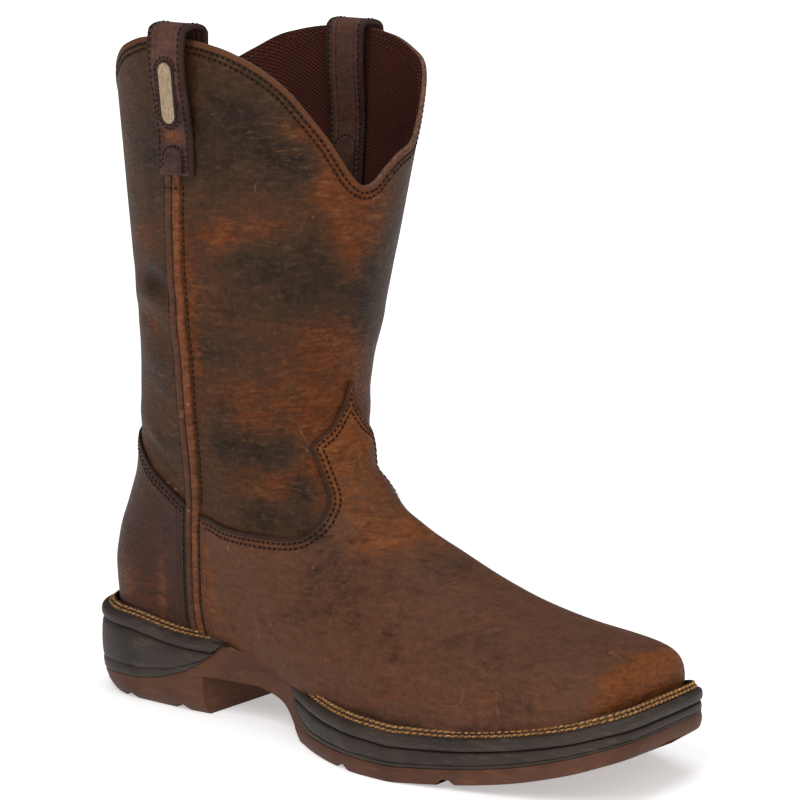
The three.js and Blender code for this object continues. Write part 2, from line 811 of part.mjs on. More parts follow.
// Cuts in the side view
const levels = (from, to, count, heightAt) => {
  const out = [];
  for (let i = 0; i <= count; i++) {
    const x = from + (to - from) * i / count;
    out.push([x, heightAt(x)]);
  }
  return out;
};
const forwards = soleToe + beyond;
const backwards = soleBack - beyond;
const high = up(1.5);
const archTop = 0.457 * heelRim;
const archRows = [
  [0.366, 1.00],
  [0.390, 0.88],
  [0.420, 0.69],
  [0.442, 0.42],
  [0.461, 0.07],
  [0.466, -0.10],
];
const arch = [
  [breast, -beyond],
  [breast, archTop],
  ...archRows.map(([x, z]) => [along(x), z * archTop]),
  [along(0.466), -beyond],
];

// The lower edge of the dark forefoot wall behind its straight part, up to its tip at the rim.
const bandRows = [
  [0.506, 0.32],
  [0.480, 0.38],
  [0.462, 0.48],
  [0.448, 0.70],
  [0.442, 1.04],
];
// The lower edge of the dark heel cup, a crescent from the back up to its tip at the rim.
const cupRows = [
  [0.000, 0.20],
  [0.045, 0.26],
  [0.092, 0.287],
  [0.130, 0.293],
  [0.177, 0.352],
  [0.223, 0.458],
  [0.258, 0.590],
  [0.286, 0.745],
  [0.305, 0.890],
];
const bandLine = bandRows.map(([x, z]) => [along(x), z * foreSole]);
const cupLine = cupRows.map(([x, z]) => [along(x), z * heelRim]);

const raise = (line, lift) => line.map(([x, z]) => [x, z + lift]);
const shift = (line, run) => line.map(([x, z]) => [x + run, z]);

function bandCut(gap) {
  return sideCut([
    ...raise(shift(bandLine, gap), gap).reverse(),
    ...raise(levels(bandLine[0][0] + 2, soleToe + 2, 20, gumAt), gap),
    [forwards, gumAt(soleToe) + gap],
    [forwards, high],
    [bandLine[bandLine.length - 1][0] + gap, high],
  ]);
}

function cupCut(gap) {
  return sideCut([
    [backwards, cupLine[0][1] + gap],
    ...raise(cupLine, gap),
    [cupLine[cupLine.length - 1][0], high],
    [backwards, high],
  ]);
}

// A groove across the tread, cut up from the floor.
function treadGroove(x, halfFoot, halfTop, depth) {
  const base = floorAt(x);
  return sideCut([
    [x - halfFoot, base - beyond],
    [x + halfFoot, base - beyond],
    [x + halfFoot, base - 0.2],
    [x + halfTop, base + depth],
    [x - halfTop, base + depth],
    [x - halfFoot, base - 0.2],
  ]);
}
const grooveRows = [
  [0.105, 5.0, 1.6, 2.8],
  [0.212, 5.0, 1.6, 2.8],
  [0.585, 4.5, 1.4, 2.6],
  [0.757, 4.5, 1.4, 2.6],
];

function makeOutsole() {
  const body = soleBody({
    tread: [5.6, 0.9],
    foot: [3.4, 0.2],
    gum: [1.4, 0.1],
    side: [0.6, 0.9],
    groove: [1.0, 1.2],
    rim: [1.6, 1.6],
  });
  let made = body.subtract(sideCut(arch)).subtract(bandCut(0)).subtract(cupCut(0)).subtract(seatForm);
  for (const [x, foot, top, depth] of grooveRows) {
    made = made.subtract(treadGroove(along(x), foot, top, depth));
  }
  return made;
}

const darkBody = soleBody({
  tread: [4.8, 0.5],
  foot: [2.4, 0.3],
  gum: [0.5, 0.4],
  side: [-1.0, 0.2],
  groove: [0.1, 0.9],
  rim: [0.9, 0.2],
});
const overSeat = (gap) => sideCut([
  [backwards, seatAt(soleBack) + gap],
  ...raise(levels(soleBack, soleToe, 40, seatAt), gap),
  [forwards, seatAt(soleToe) + gap],
  [forwards, high],
  [backwards, high],
]);

function makeMidsole(cut) {
  return darkBody.intersect(cut).subtract(overSeat(-clearance)).subtract(seatForm);
}

function makeWelt(cut) {
  return darkBody.intersect(cut).intersect(overSeat(0)).subtract(throughForm);
}

function makeInsole() {
  return form(-upperWall - 3 * clearance).subtract(overSeat(insoleThickness));
}

add('outsole', makeOutsole(), looks.gum);
add('midsole_forefoot', makeMidsole(bandCut(clearance)), looks.rubber);
add('midsole_heel', makeMidsole(cupCut(clearance)), looks.rubber);
add('welt_forefoot', makeWelt(bandCut(clearance)), looks.rubber);
add('welt_heel', makeWelt(cupCut(clearance)), looks.rubber);
add('insole', makeInsole(), looks.insole);
add('upper', shell(surface, moved(surface, -upperWall)), looks.leather);
add('vamp', makeVamp(), looks.vamp);
add('counter', makeCounter(), looks.counter);
for (const [name, side] of [['outer', -1], ['inner', 1]]) {
  const offset = (beadWidth + beadGap) / 2;
  add('bead_front_' + name, makeBead(side, offset), looks.bead);
  add('bead_rear_' + name, makeBead(side, -offset), looks.bead);
  add('pull_strap_' + name, makeStrap(side), looks.strap);
}
add('badge', makeBadge(), looks.badge);

export default group;
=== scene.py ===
import math

import bmesh
import bpy
from mathutils import Matrix, Vector
from mathutils.kdtree import KDTree


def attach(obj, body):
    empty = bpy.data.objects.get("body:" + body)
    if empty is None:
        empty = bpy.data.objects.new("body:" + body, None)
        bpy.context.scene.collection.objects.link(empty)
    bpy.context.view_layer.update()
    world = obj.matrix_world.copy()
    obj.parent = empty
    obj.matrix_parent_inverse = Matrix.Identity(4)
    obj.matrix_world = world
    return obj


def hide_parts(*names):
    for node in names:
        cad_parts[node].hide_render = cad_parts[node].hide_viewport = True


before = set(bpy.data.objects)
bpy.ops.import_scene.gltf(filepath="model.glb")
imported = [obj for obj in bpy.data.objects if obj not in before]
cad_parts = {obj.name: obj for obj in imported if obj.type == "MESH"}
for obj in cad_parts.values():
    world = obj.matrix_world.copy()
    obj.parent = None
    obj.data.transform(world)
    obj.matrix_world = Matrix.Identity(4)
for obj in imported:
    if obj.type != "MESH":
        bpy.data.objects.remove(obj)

# A pull-on western boot for the right foot. Lengths are in millimetres until a mesh is finished.
MM = 0.001
OUTER = -1
INNER = 1
SIDES = ((OUTER, "outer"), (INNER, "inner"))
SIDE_NAME = dict(SIDES)
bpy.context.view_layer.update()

# The camera's angle to the boot
CAMERA_TURN = math.radians(38.435)
CAMERA_RISE = math.radians(9.524)
CAMERA_ROLL = math.radians(-0.398)
CAMERA_DISTANCE = 1116.14
CAMERA_TARGET = Vector((126.7, 0.0, 152.655))
CAMERA_LENS = 113.19


def make_camera():
    """A camera that sees the boot from its outer front quarter."""
    back = Vector((
        math.sin(CAMERA_TURN) * math.cos(CAMERA_RISE),
        -math.cos(CAMERA_TURN) * math.cos(CAMERA_RISE),
        math.sin(CAMERA_RISE),
    ))
    level = Vector((math.cos(CAMERA_TURN), math.sin(CAMERA_TURN), 0.0))
    upright = back.cross(level)
    right = level * math.cos(CAMERA_ROLL) + upright * math.sin(CAMERA_ROLL)
    up = upright * math.cos(CAMERA_ROLL) - level * math.sin(CAMERA_ROLL)
    data = bpy.data.cameras.new("camera")
    data.sensor_width = 36.0
    data.lens = CAMERA_LENS
    data.clip_start = 0.05
    data.clip_end = 100.0
    camera = bpy.data.objects.new("camera", data)
    bpy.context.scene.collection.objects.link(camera)
    turned = Matrix((right, up, back)).transposed().to_4x4()
    place = (CAMERA_TARGET + back * CAMERA_DISTANCE) * MM
    camera.matrix_world = Matrix.Translation(place) @ turned
    bpy.context.scene.camera = camera


make_camera()

# Driving sizes of the boot
SOLE_LENGTH = 314.6
HEEL_BEHIND = 44.6
BALL_WIDTH = 112.0
BOOT_HEIGHT = 313.0
INSTEP_HEIGHT = 110.0
HEEL_RIM = 42.0
FORE_SOLE = 21.6
TOE_SPRING = 22.5
UPPER_WALL = 2.2
OVERLAY = 1.2
CLEARANCE = 0.3
GUM_SOLE = 7.0
RIB_HEIGHT = 5.6
WELT_WIDTH = 7.6
TOE_GAP = 9.8
HEEL_GAP = 8.2


def along(share):
    return share * SOLE_LENGTH - HEEL_BEHIND


def across(share):
    return share * BALL_WIDTH


def plain(value):
    return value


def curve(xs, ys):
    """A smooth curve through the rows of a table that never overshoots them."""
    last = len(xs) - 1
    steps = [xs[i + 1] - xs[i] for i in range(last)]
    rises = [(ys[i + 1] - ys[i]) / steps[i] for i in range(last)]
    slopes = [rises[0]]
    for i in range(1, last):
        a = 2 * steps[i] + steps[i - 1]
        b = steps[i] + 2 * steps[i - 1]
        turns = rises[i - 1] * rises[i] <= 0
        slopes.append(0.0 if turns else (a + b) / (a / rises[i - 1] + b / rises[i]))
    slopes.append(rises[-1])

    def read(at):
        x = min(max(at, xs[0]), xs[last])
        i = 0
        while i < last - 1 and x > xs[i + 1]:
            i += 1
        t = (x - xs[i]) / steps[i]
        s = 1 - t
        start = ys[i] * (1 + 2 * t) * s * s + slopes[i] * steps[i] * t * s * s
        end = ys[i + 1] * t * t * (3 - 2 * t) + slopes[i + 1] * steps[i] * t * t * (t - 1)
        return start + end

    return read


def table(names, scales, rows):
    """One curve for each named column, read against the first column."""
    keys = [scales[0](row[0]) for row in rows]
    columns = {}
    for k, name in enumerate(names[1:], start=1):
        columns[name] = curve(keys, [scales[k](row[k]) for row in rows])
    return columns


# The sole seen from above and from its side, a row for each station from the heel to the toe
SOLE = table(
    ("along", "outer", "inner", "ledge", "climb", "spring", "taper"),
    (along, across, across, plain, plain, plain, plain),
    (
        (0.000, 0.344, 0.340, 1.00, 1.00, 0.00, 1.00),
        (0.110, 0.344, 0.340, 1.00, 0.96, 0.00, 1.00),
        (0.172, 0.344, 0.335, 1.00, 0.83, 0.00, 1.00),
        (0.220, 0.342, 0.321, 1.00, 0.75, 0.00, 1.00),
        (0.299, 0.321, 0.295, 0.85, 0.71, 0.00, 1.00),
        (0.350, 0.307, 0.277, 0.68, 0.55, 0.00, 1.00),
        (0.395, 0.299, 0.268, 0.60, 0.37, 0.00, 1.00),
        (0.452, 0.357, 0.295, 0.70, 0.15, 0.00, 1.00),
        (0.506, 0.442, 0.339, 0.88, 0.08, 0.00, 1.00),
        (0.567, 0.513, 0.384, 0.96, 0.03, 0.00, 1.00),
        (0.618, 0.546, 0.424, 1.00, 0.01, 0.00, 1.00),
        (0.665, 0.550, 0.450, 1.00, 0.00, 0.00, 0.98),
        (0.707, 0.531, 0.464, 0.96, 0.00, 0.04, 0.96),
        (0.761, 0.496, 0.464, 0.92, 0.00, 0.11, 0.93),
        (0.844, 0.451, 0.436, 0.90, 0.00, 0.30, 0.91),
        (0.924, 0.402, 0.378, 0.86, 0.00, 0.60, 0.86),
        (0.975, 0.375, 0.340, 0.80, 0.00, 0.85, 0.83),
        (1.000, 0.366, 0.325, 0.80, 0.00, 0.96, 0.81),
    ),
)
SOLE_BACK = along(0)
SOLE_TOE = along(1)


def floor_at(x):
    return TOE_SPRING * SOLE["spring"](x)


def rim_at(x):
    return floor_at(x) + FORE_SOLE * SOLE["taper"](x) + (HEEL_RIM - FORE_SOLE) * SOLE["climb"](x)


def seat_at(x):
    return rim_at(x) - RIB_HEIGHT


def gum_at(x):
    return floor_at(x) + GUM_SOLE


TOE_FRONT = SOLE_TOE - TOE_GAP
HEIGHT_KNOTS = (
    (0.0, 0.0),
    (0.1, seat_at(TOE_FRONT)),
    (0.351, INSTEP_HEIGHT),
    (1.0, BOOT_HEIGHT),
)


def up(share):
    """A share of the height: it follows the sole at the toe, then the instep, and then the leg."""
    i = 0
    while i < len(HEIGHT_KNOTS) - 2 and share > HEIGHT_KNOTS[i + 1][0]:
        i += 1
    (start, low), (end, high) = HEIGHT_KNOTS[i], HEIGHT_KNOTS[i + 1]
    return low + (share - start) / (end - start) * (high - low)


# The front line of the boot, from the toe's foot over the instep and up the leg
RIDGE_ROWS = (
    (0.969, 0.109, 0.310, 0.290, 0.050, 3.2),
    (0.968, 0.138, 0.320, 0.300, 0.050, 3.2),
    (0.961, 0.166, 0.345, 0.330, 0.050, 3.2),
    (0.940, 0.180, 0.355, 0.336, 0.057, 3.0),
    (0.889, 0.189, 0.388, 0.362, 0.072, 2.8),
    (0.825, 0.198, 0.425, 0.394, 0.098, 2.6),
    (0.745, 0.217, 0.460, 0.412, 0.130, 2.4),
    (0.682, 0.243, 0.460, 0.400, 0.156, 2.2),
    (0.618, 0.275, 0.430, 0.375, 0.176, 2.1),
    (0.554, 0.308, 0.385, 0.350, 0.188, 2.0),
    (0.501, 0.351, 0.364, 0.342, 0.192, 2.0),
    (0.467, 0.396, 0.374, 0.360, 0.192, 2.0),
    (0.451, 0.437, 0.394, 0.385, 0.192, 2.0),
    (0.450, 0.479, 0.414, 0.412, 0.192, 2.0),
    (0.462, 0.543, 0.440, 0.443, 0.195, 2.0),
    (0.485, 0.639, 0.475, 0.485, 0.202, 2.0),
    (0.521, 0.799, 0.522, 0.536, 0.222, 2.0),
    (0.557, 0.958, 0.553, 0.570, 0.241, 2.0),
    (0.580, 1.086, 0.573, 0.592, 0.253, 2.0),
)
RIDGE_LENGTHS = [0.0]
for before, after in zip(RIDGE_ROWS, RIDGE_ROWS[1:]):
    run = along(after[0]) - along(before[0])
    climb = up(after[1]) - up(before[1])
    RIDGE_LENGTHS.append(RIDGE_LENGTHS[-1] + math.hypot(run, climb))
RIDGE = table(
    ("arc", "x", "z", "outer", "inner", "crown", "square"),
    (plain, along, up, across, across, up, plain),
    [(arc, *row) for arc, row in zip(RIDGE_LENGTHS, RIDGE_ROWS)],
)

# The back line of the boot with the half width and the roundness of the back behind it
BACK = table(
    ("up", "along", "half", "depth"),
    (up, along, across, up),
    (
        (0.096, 0.036, 0.270, 0.102),
        (0.144, 0.030, 0.275, 0.102),
        (0.198, 0.026, 0.277, 0.102),
        (0.249, 0.035, 0.280, 0.105),
        (0.304, 0.058, 0.296, 0.115),
        (0.358, 0.078, 0.326, 0.137),
        (0.415, 0.086, 0.370, 0.163),
        (0.479, 0.092, 0.410, 0.182),
        (0.543, 0.098, 0.437, 0.192),
        (0.639, 0.096, 0.473, 0.202),
        (0.799, 0.088, 0.522, 0.222),
        (0.958, 0.076, 0.553, 0.241),
        (1.086, 0.068, 0.573, 0.253),
    ),
)
BEND_X = along(0.697)
BEND_Z = up(0.607)
TOE_DEPTH = 0.143 * SOLE_LENGTH
TOE_SQUARE = 5.0
HEEL_BACK = SOLE_BACK + HEEL_GAP
BACK_ROUND = 2.15
BELLY_HEIGHT = up(0.083)
LEG_FROM = along(0.156)
LEG_TO = along(0.459)


def share_of(value):
    return min(max(value, 0.0), 1.0)


def eased(value):
    t = share_of(value)
    return t * t * (3 - 2 * t)


def rounded(share, power):
    """How far a section has rounded over: 0 at its edge and 1 a whole depth inside it."""
    return (1 - (1 - share_of(share)) ** power) ** (1 / power)


def turn_of(x, z):
    if z >= BEND_Z:
        return BEND_Z - z
    if x >= BEND_X:
        return math.pi / 2 * BEND_Z + (x - BEND_X)
    return math.atan2(BEND_Z - z, BEND_X - x) * BEND_Z


RIDGE_STEPS = 900
RIDGE_END = RIDGE_LENGTHS[-1]
RIDGE_WALK = []
for step in range(RIDGE_STEPS + 1):
    arc = RIDGE_END * step / RIDGE_STEPS
    x, z = RIDGE["x"](arc), RIDGE["z"](arc)
    RIDGE_WALK.append((arc, x, z, turn_of(x, z)))


def abreast(x, z):
    """The point of the front line that lies abreast of a place inside the boot."""
    turn = turn_of(x, z)
    low, high = 0, RIDGE_STEPS
    while high - low > 1:
        middle = (low + high) // 2
        if RIDGE_WALK[middle][3] >= turn:
            low = middle
        else:
            high = middle
    a, b = RIDGE_WALK[low], RIDGE_WALK[high]
    t = share_of((a[3] - turn) / ((a[3] - b[3]) or 1))
    return [a[k] + t * (b[k] - a[k]) for k in range(3)]


def half_width(x, z, side):
    """Half the boot's width at a place in its side view."""
    arc, front_x, front_z = abreast(x, z)
    if z >= BEND_Z:
        under = front_x - x
    elif x >= BEND_X:
        under = front_z - z
    else:
        under = math.hypot(x - BEND_X, z - BEND_Z) - math.hypot(front_x - BEND_X, front_z - BEND_Z)
    name = SIDE_NAME[side]
    front = eased((x - LEG_FROM) / (LEG_TO - LEG_FROM))
    body = BACK["half"](z) * (1 - front) + RIDGE[name](arc) * front
    sunk = 1 - share_of((z - seat_at(x)) / BELLY_HEIGHT)
    edge = SOLE[name](x) - WELT_WIDTH * SOLE["ledge"](x)
    width = edge * sunk * sunk + body * (1 - sunk * sunk)
    crown = rounded(under / RIDGE["crown"](arc), RIDGE["square"](arc))
    behind = rounded((x - BACK["along"](z)) / BACK["depth"](z), BACK_ROUND)
    return width * crown * behind * rounded((TOE_FRONT - x) / TOE_DEPTH, TOE_SQUARE)


def lengths_along(points):
    """How far each point lies along the line that they make."""
    lengths = [0.0]
    for a, b in zip(points, points[1:]):
        lengths.append(lengths[-1] + (b - a).length)
    return lengths


def tree_of(points):
    """The points, sorted so that the nearest one to a place is found fast."""
    tree = KDTree(len(points))
    for index, point in enumerate(points):
        tree.insert(point, index)
    tree.balance()
    return tree


def spread(points, count):
    """Points spread evenly along a line of points."""
    lengths = lengths_along(points)
    out = []
    i = 0
    for k in range(count + 1):
        want = lengths[-1] * k / count
        while i < len(points) - 2 and lengths[i + 1] < want:
            i += 1
        t = share_of((want - lengths[i]) / ((lengths[i + 1] - lengths[i]) or 1))
        out.append(points[i].lerp(points[i + 1], t))
    return out


# How finely the leather is divided: columns from the front line to the back on each side
COLUMNS = 116
FOOT_ROWS = 74
LEG_ROWS = 76
SECTION_STEPS = 170
LEVEL_STEP = 4.0


def half_ring(front, rear, side, sag=0.0):
    """Half a ring of the boot between a front and a back point, on one side."""
    (front_x, front_z), (rear_x, rear_z) = front, rear
    seat_front, seat_rear = seat_at(front_x), seat_at(rear_x)
    points = []
    for i in range(SECTION_STEPS + 1):
        share = (1 + math.cos(math.pi * i / SECTION_STEPS)) / 2
        x = rear_x + (front_x - rear_x) * share
        chord = seat_rear + (seat_front - seat_rear) * share
        z = rear_z + (front_z - rear_z) * share + sag * (seat_at(x) - chord)
        at_end = i in (0, SECTION_STEPS)
        points.append(Vector((x, 0.0 if at_end else side * half_width(x, z, side), z)))
    return spread(points, COLUMNS)


ANKLE = up(0.543)
ANKLE_ARC = next(arc for arc, x, z, turn in RIDGE_WALK if x < BEND_X and z >= ANKLE)
RINGS = table(
    ("row", "front", "back", "sag"),
    (plain, plain, plain, plain),
    (
        (0.00, 0.000, 0.000, 1.00),
        (0.06, 0.034, 0.012, 0.90),
        (0.13, 0.069, 0.028, 0.80),
        (0.20, 0.110, 0.048, 0.69),
        (0.28, 0.180, 0.080, 0.58),
        (0.36, 0.270, 0.125, 0.46),
        (0.44, 0.365, 0.180, 0.36),
        (0.52, 0.450, 0.240, 0.27),
        (0.60, 0.540, 0.320, 0.18),
        (0.68, 0.635, 0.430, 0.11),
        (0.76, 0.730, 0.560, 0.05),
        (0.84, 0.815, 0.700, 0.01),
        (0.92, 0.905, 0.850, 0.00),
        (1.00, 1.000, 1.000, 0.00),
    ),
)

# The scalloped top edge: low in front and behind, high at both sides
COLLAR = table(
    ("around", "outer", "inner"),
    (plain, up, up),
    (
        (0.00, 0.813, 0.813),
        (0.03, 0.796, 0.827),
        (0.055, 0.791, 0.835),
        (0.08, 0.798, 0.840),
        (0.10, 0.810, 0.843),
        (0.13, 0.834, 0.853),
        (0.16, 0.859, 0.876),
        (0.20, 0.888, 0.918),
        (0.26, 0.930, 0.957),
        (0.33, 0.963, 0.976),
        (0.41, 0.986, 0.995),
        (0.50, 0.998, 1.006),
        (0.58, 1.000, 1.008),
        (0.68, 0.988, 0.998),
        (0.76, 0.962, 0.972),
        (0.85, 0.930, 0.938),
        (0.94, 0.907, 0.911),
        (1.00, 0.902, 0.902),
    ),
)


def both_halves(outer, inner):
    """One ring from two halves: front, outer side, back, inner side and the front again."""
    return outer + inner[1:-1][::-1]


def foot_ring(row):
    """A tilted ring of the foot: row 0 is its foot at the sole, and row 1 the ankle."""
    arc = RINGS["front"](row) * ANKLE_ARC
    rear_z = seat_at(HEEL_BACK) + RINGS["back"](row) * (ANKLE - seat_at(HEEL_BACK))
    front_z = seat_at(TOE_FRONT) if row == 0 else RIDGE["z"](arc)
    front = (RIDGE["x"](arc), front_z)
    rear = (BACK["along"](rear_z), rear_z)
    sag = RINGS["sag"](row)
    return both_halves(half_ring(front, rear, OUTER, sag), half_ring(front, rear, INNER, sag))


def front_line(z):
    """Where the front line of the leg stands at a height."""
    if z >= BEND_Z:
        return abreast(LEG_TO, z)[1]
    return next(x for arc, x, height, turn in RIDGE_WALK if x < BEND_X and height >= z)


def leg_levels(side):
    """Level sections of the leg from the ankle to the highest point of the collar."""
    top = up(1.02)
    count = math.ceil((top - ANKLE) / LEVEL_STEP)
    levels = []
    for k in range(count + 1):
        z = ANKLE + (top - ANKLE) * k / count
        front_x = front_line(z)
        levels.append(half_ring((front_x, z), (BACK["along"](z), z), side))
    return levels


def leg_rings():
    """The rings of the leg, spread evenly from the ankle up to the collar at each column."""
    halves = {}
    for side, name in SIDES:
        levels = leg_levels(side)
        rings = []
        for row in range(1, LEG_ROWS + 1):
            ring = []
            for j in range(COLUMNS + 1):
                top = COLLAR[name](j / COLUMNS)
                z = ANKLE + (top - ANKLE) * row / LEG_ROWS
                at = (z - ANKLE) / (levels[1][0].z - ANKLE)
                k = min(int(at), len(levels) - 2)
                ring.append(levels[k][j].lerp(levels[k + 1][j], at - k))
            rings.append(ring)
        halves[side] = rings
    return [both_halves(a, b) for a, b in zip(halves[OUTER], halves[INNER])]


SKIN = [foot_ring(row / FOOT_ROWS) for row in range(FOOT_ROWS + 1)] + leg_rings()
TOP_ROW = len(SKIN) - 1
ROUND = 2 * COLUMNS


def skin_normal(row, column):
    """The direction out of the skin, kept level at the lowest ring."""
    below, above = SKIN[max(row - 1, 0)], SKIN[min(row + 1, TOP_ROW)]
    ring = SKIN[row]
    rise = above[column] - below[column]
    turn = ring[(column + 1) % ROUND] - ring[(column - 1) % ROUND]
    normal = rise.cross(turn)
    if row == 0:
        normal.z = 0.0
    return normal.normalized()


# The main creases and swells of the leather. Each runs through a place on a side,
# at an angle to the level, with its half length, half width and height, below 0 for a trough.
CREASES = (
    (OUTER, 96, 113, 28, 17, 5.0, -1.7),
    (OUTER, 88, 124, 20, 20, 5.5, 1.3),
    (OUTER, 76, 112, 16, 22, 5.0, 1.0),
    (OUTER, 66, 122, -14, 18, 5.0, -0.9),
    (OUTER, 84, 141, 12, 26, 6.5, -0.9),
    (OUTER, 72, 152, 6, 30, 7.0, 0.8),
    (OUTER, 90, 166, -18, 24, 7.0, -0.7),
    (OUTER, 70, 184, -10, 28, 8.0, 0.8),
    (OUTER, 84, 200, 14, 24, 8.0, -0.7),
    (OUTER, 74, 222, 16, 26, 7.5, 0.9),
    (OUTER, 86, 236, 10, 20, 7.0, -0.6),
    (OUTER, 108, 226, 82, 40, 5.5, -0.8),
    (OUTER, 112, 214, 84, 44, 4.5, 0.7),
    (OUTER, 24, 206, -14, 16, 4.5, -1.3),
    (OUTER, 22, 196, -10, 15, 4.0, 1.0),
    (OUTER, 18, 186, -16, 15, 4.0, -0.9),
    (OUTER, 20, 168, -8, 16, 5.0, 0.7),
    (OUTER, 16, 150, -12, 14, 5.0, -0.8),
    (OUTER, 10, 134, -30, 14, 4.5, 0.8),
    (OUTER, 14, 122, -34, 16, 4.0, -0.7),
    (OUTER, 118, 98, 52, 20, 8.0, -1.0),
    (OUTER, 108, 84, 46, 18, 8.0, 0.6),
    (OUTER, 172, 62, 10, 24, 9.0, -0.5),
    (OUTER, 8, 62, 76, 18, 6.0, -0.6),
    (INNER, 94, 114, 24, 18, 5.0, -1.4),
    (INNER, 84, 126, 14, 22, 5.5, 1.1),
    (INNER, 70, 116, -10, 20, 5.0, -0.9),
    (INNER, 78, 144, -8, 26, 7.0, 0.8),
    (INNER, 66, 166, 10, 26, 7.5, -0.8),
    (INNER, 76, 190, -12, 26, 8.0, 0.8),
    (INNER, 60, 214, 8, 28, 8.0, -0.7),
    (INNER, 22, 196, 12, 16, 5.0, -1.0),
    (INNER, 20, 180, 8, 16, 5.0, 0.8),
    (INNER, 16, 152, 16, 15, 5.0, -0.8),
    (INNER, 114, 96, 50, 20, 8.0, -0.9),
)

CREASE_STRENGTH = 1.35
CREASE_REACH = 2.6
CREASE_SPREAD = 3.0
CREASE_BOW = 0.5
CREASE_FADE = 6.0


def crease_height(point):
    """How far the creases and swells lift or sink the skin at a place."""
    side = OUTER if point.y < 0 else INNER
    fade = eased(abs(point.y) / CREASE_FADE)
    height = 0.0
    for owner, x, z, angle, half_length, half_breadth, raised in CREASES:
        if owner != side:
            continue
        dx, dz = point.x - x, point.z - z
        if min(abs(dx), abs(dz)) > CREASE_REACH * half_length:
            continue
        cosine, sine = math.cos(math.radians(angle)), math.sin(math.radians(angle))
        run = (dx * cosine + dz * sine) / half_length
        off = (dz * cosine - dx * sine) / half_breadth + CREASE_BOW * run * run
        if abs(run) < CREASE_REACH and abs(off) < CREASE_SPREAD:
            height += raised * math.exp(-run * run - off * off)
    return height * fade * CREASE_STRENGTH


def creased_skin():
    """The skin with its creases, each place moved straight out or in."""
    made = []
    for row, ring in enumerate(SKIN):
        moved = []
        for column, point in enumerate(ring):
            moved.append(point + skin_normal(row, column) * crease_height(point))
        made.append(moved)
    return made


SKIN = creased_skin()
NORMALS = [[skin_normal(row, column) for column in range(ROUND)] for row in range(TOP_ROW + 1)]
SKIN_TREE = tree_of([point for ring in SKIN for point in ring])


def locate(point):
    """The row and column, with their fractions, of the skin nearest to a point."""
    index = SKIN_TREE.find(point)[1]
    row, column = divmod(index, ROUND)
    row = min(max(row, 1), TOP_ROW - 1)
    here = SKIN[row][column]
    turn = (SKIN[row][(column + 1) % ROUND] - SKIN[row][(column - 1) % ROUND]) / 2
    rise = (SKIN[row + 1][column] - SKIN[row - 1][column]) / 2
    gap = point - here
    turn_size, both, rise_size = turn.dot(turn), turn.dot(rise), rise.dot(rise)
    gap_turn, gap_rise = gap.dot(turn), gap.dot(rise)
    whole = turn_size * rise_size - both * both
    off_column = (gap_turn * rise_size - gap_rise * both) / whole
    off_row = (gap_rise * turn_size - gap_turn * both) / whole
    return row + off_row, column + off_column


def blended(grid, row, column):
    """A value of a grid of places or normals, read between its rows and columns."""
    low = min(max(int(row), 0), TOP_ROW - 1)
    t = row - low
    left = math.floor(column)
    s = column - left
    a = grid[low][left % ROUND].lerp(grid[low][(left + 1) % ROUND], s)
    b = grid[low + 1][left % ROUND].lerp(grid[low + 1][(left + 1) % ROUND], s)
    return a.lerp(b, t)


def on_skin(point, lift=0.0):
    """The nearest place on the leather's skin, lifted off it, with the skin's normal there."""
    row, column = locate(point)
    row = min(max(row, 0.0), float(TOP_ROW))
    normal = blended(NORMALS, row, column).normalized()
    return blended(SKIN, row, column) + normal * lift, normal


def at_side(x, z, side):
    """A place on the skin by its place in the side view."""
    return Vector((x, side * half_width(x, z, side), z))


FRONT_REACH = 40.0
HALVINGS = 24


def at_front(y, z, side):
    """A place on the skin near the front line by its place in the front view."""
    high = front_line(z)
    low = high - FRONT_REACH
    for _ in range(HALVINGS):
        middle = (low + high) / 2
        if half_width(middle, z, side) > y:
            low = middle
        else:
            high = middle
    return Vector((low, side * y, z))


def smooth_line(points, step=0.8):
    """A smooth line through points, with its places a small step apart."""
    lengths = lengths_along(points)
    reads = [curve(lengths, [point[k] for point in points]) for k in range(3)]
    count = max(int(lengths[-1] / step), 2)
    return [Vector([read(lengths[-1] * i / count) for read in reads]) for i in range(count + 1)]


# Meshes. Edges sharper than an angle are rounded, and vertices closer than a weld are merged.
SOFTENED_FROM = 55
WELD = 0.01
SEAM_WELD = 1e-4


def new_mesh(bm, name, materials, sharp=None):
    """Finishes a bmesh made in millimetres as an object of the boot, which rides on its body."""
    bmesh.ops.scale(bm, vec=(MM, MM, MM), verts=bm.verts)
    data = bpy.data.meshes.new(name)
    for face in bm.faces:
        face.smooth = True
    bm.to_mesh(data)
    bm.free()
    if sharp is not None:
        data.set_sharp_from_angle(angle=math.radians(sharp))
    piece = bpy.data.objects.new(name, data)
    bpy.context.scene.collection.objects.link(piece)
    for material in materials:
        data.materials.append(material)
    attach(piece, "root")
    return piece


def grid_mesh(columns, rows, place, closed=True):
    """A grid of vertices moved to their places, its first and last columns welded when closed."""
    bm = bmesh.new()
    bmesh.ops.create_grid(bm, x_segments=columns, y_segments=rows, size=1.0)
    uv = bm.loops.layers.uv.new("UVMap")
    for face in bm.faces:
        for loop in face.loops:
            co = loop.vert.co
            loop[uv].uv = ((co.x + 1) / 2, (co.y + 1) / 2)
    spots = []
    for vert in bm.verts:
        column = round((vert.co.x + 1) / 2 * columns)
        row = round((vert.co.y + 1) / 2 * rows)
        spots.append((vert, place(column, row)))
    for vert, spot in spots:
        vert.co = spot
    if closed:
        bmesh.ops.remove_doubles(bm, verts=bm.verts, dist=SEAM_WELD)
    return bm


def face_out(bm):
    """Turns all faces of a mesh outwards."""
    bmesh.ops.recalc_face_normals(bm, faces=bm.faces)


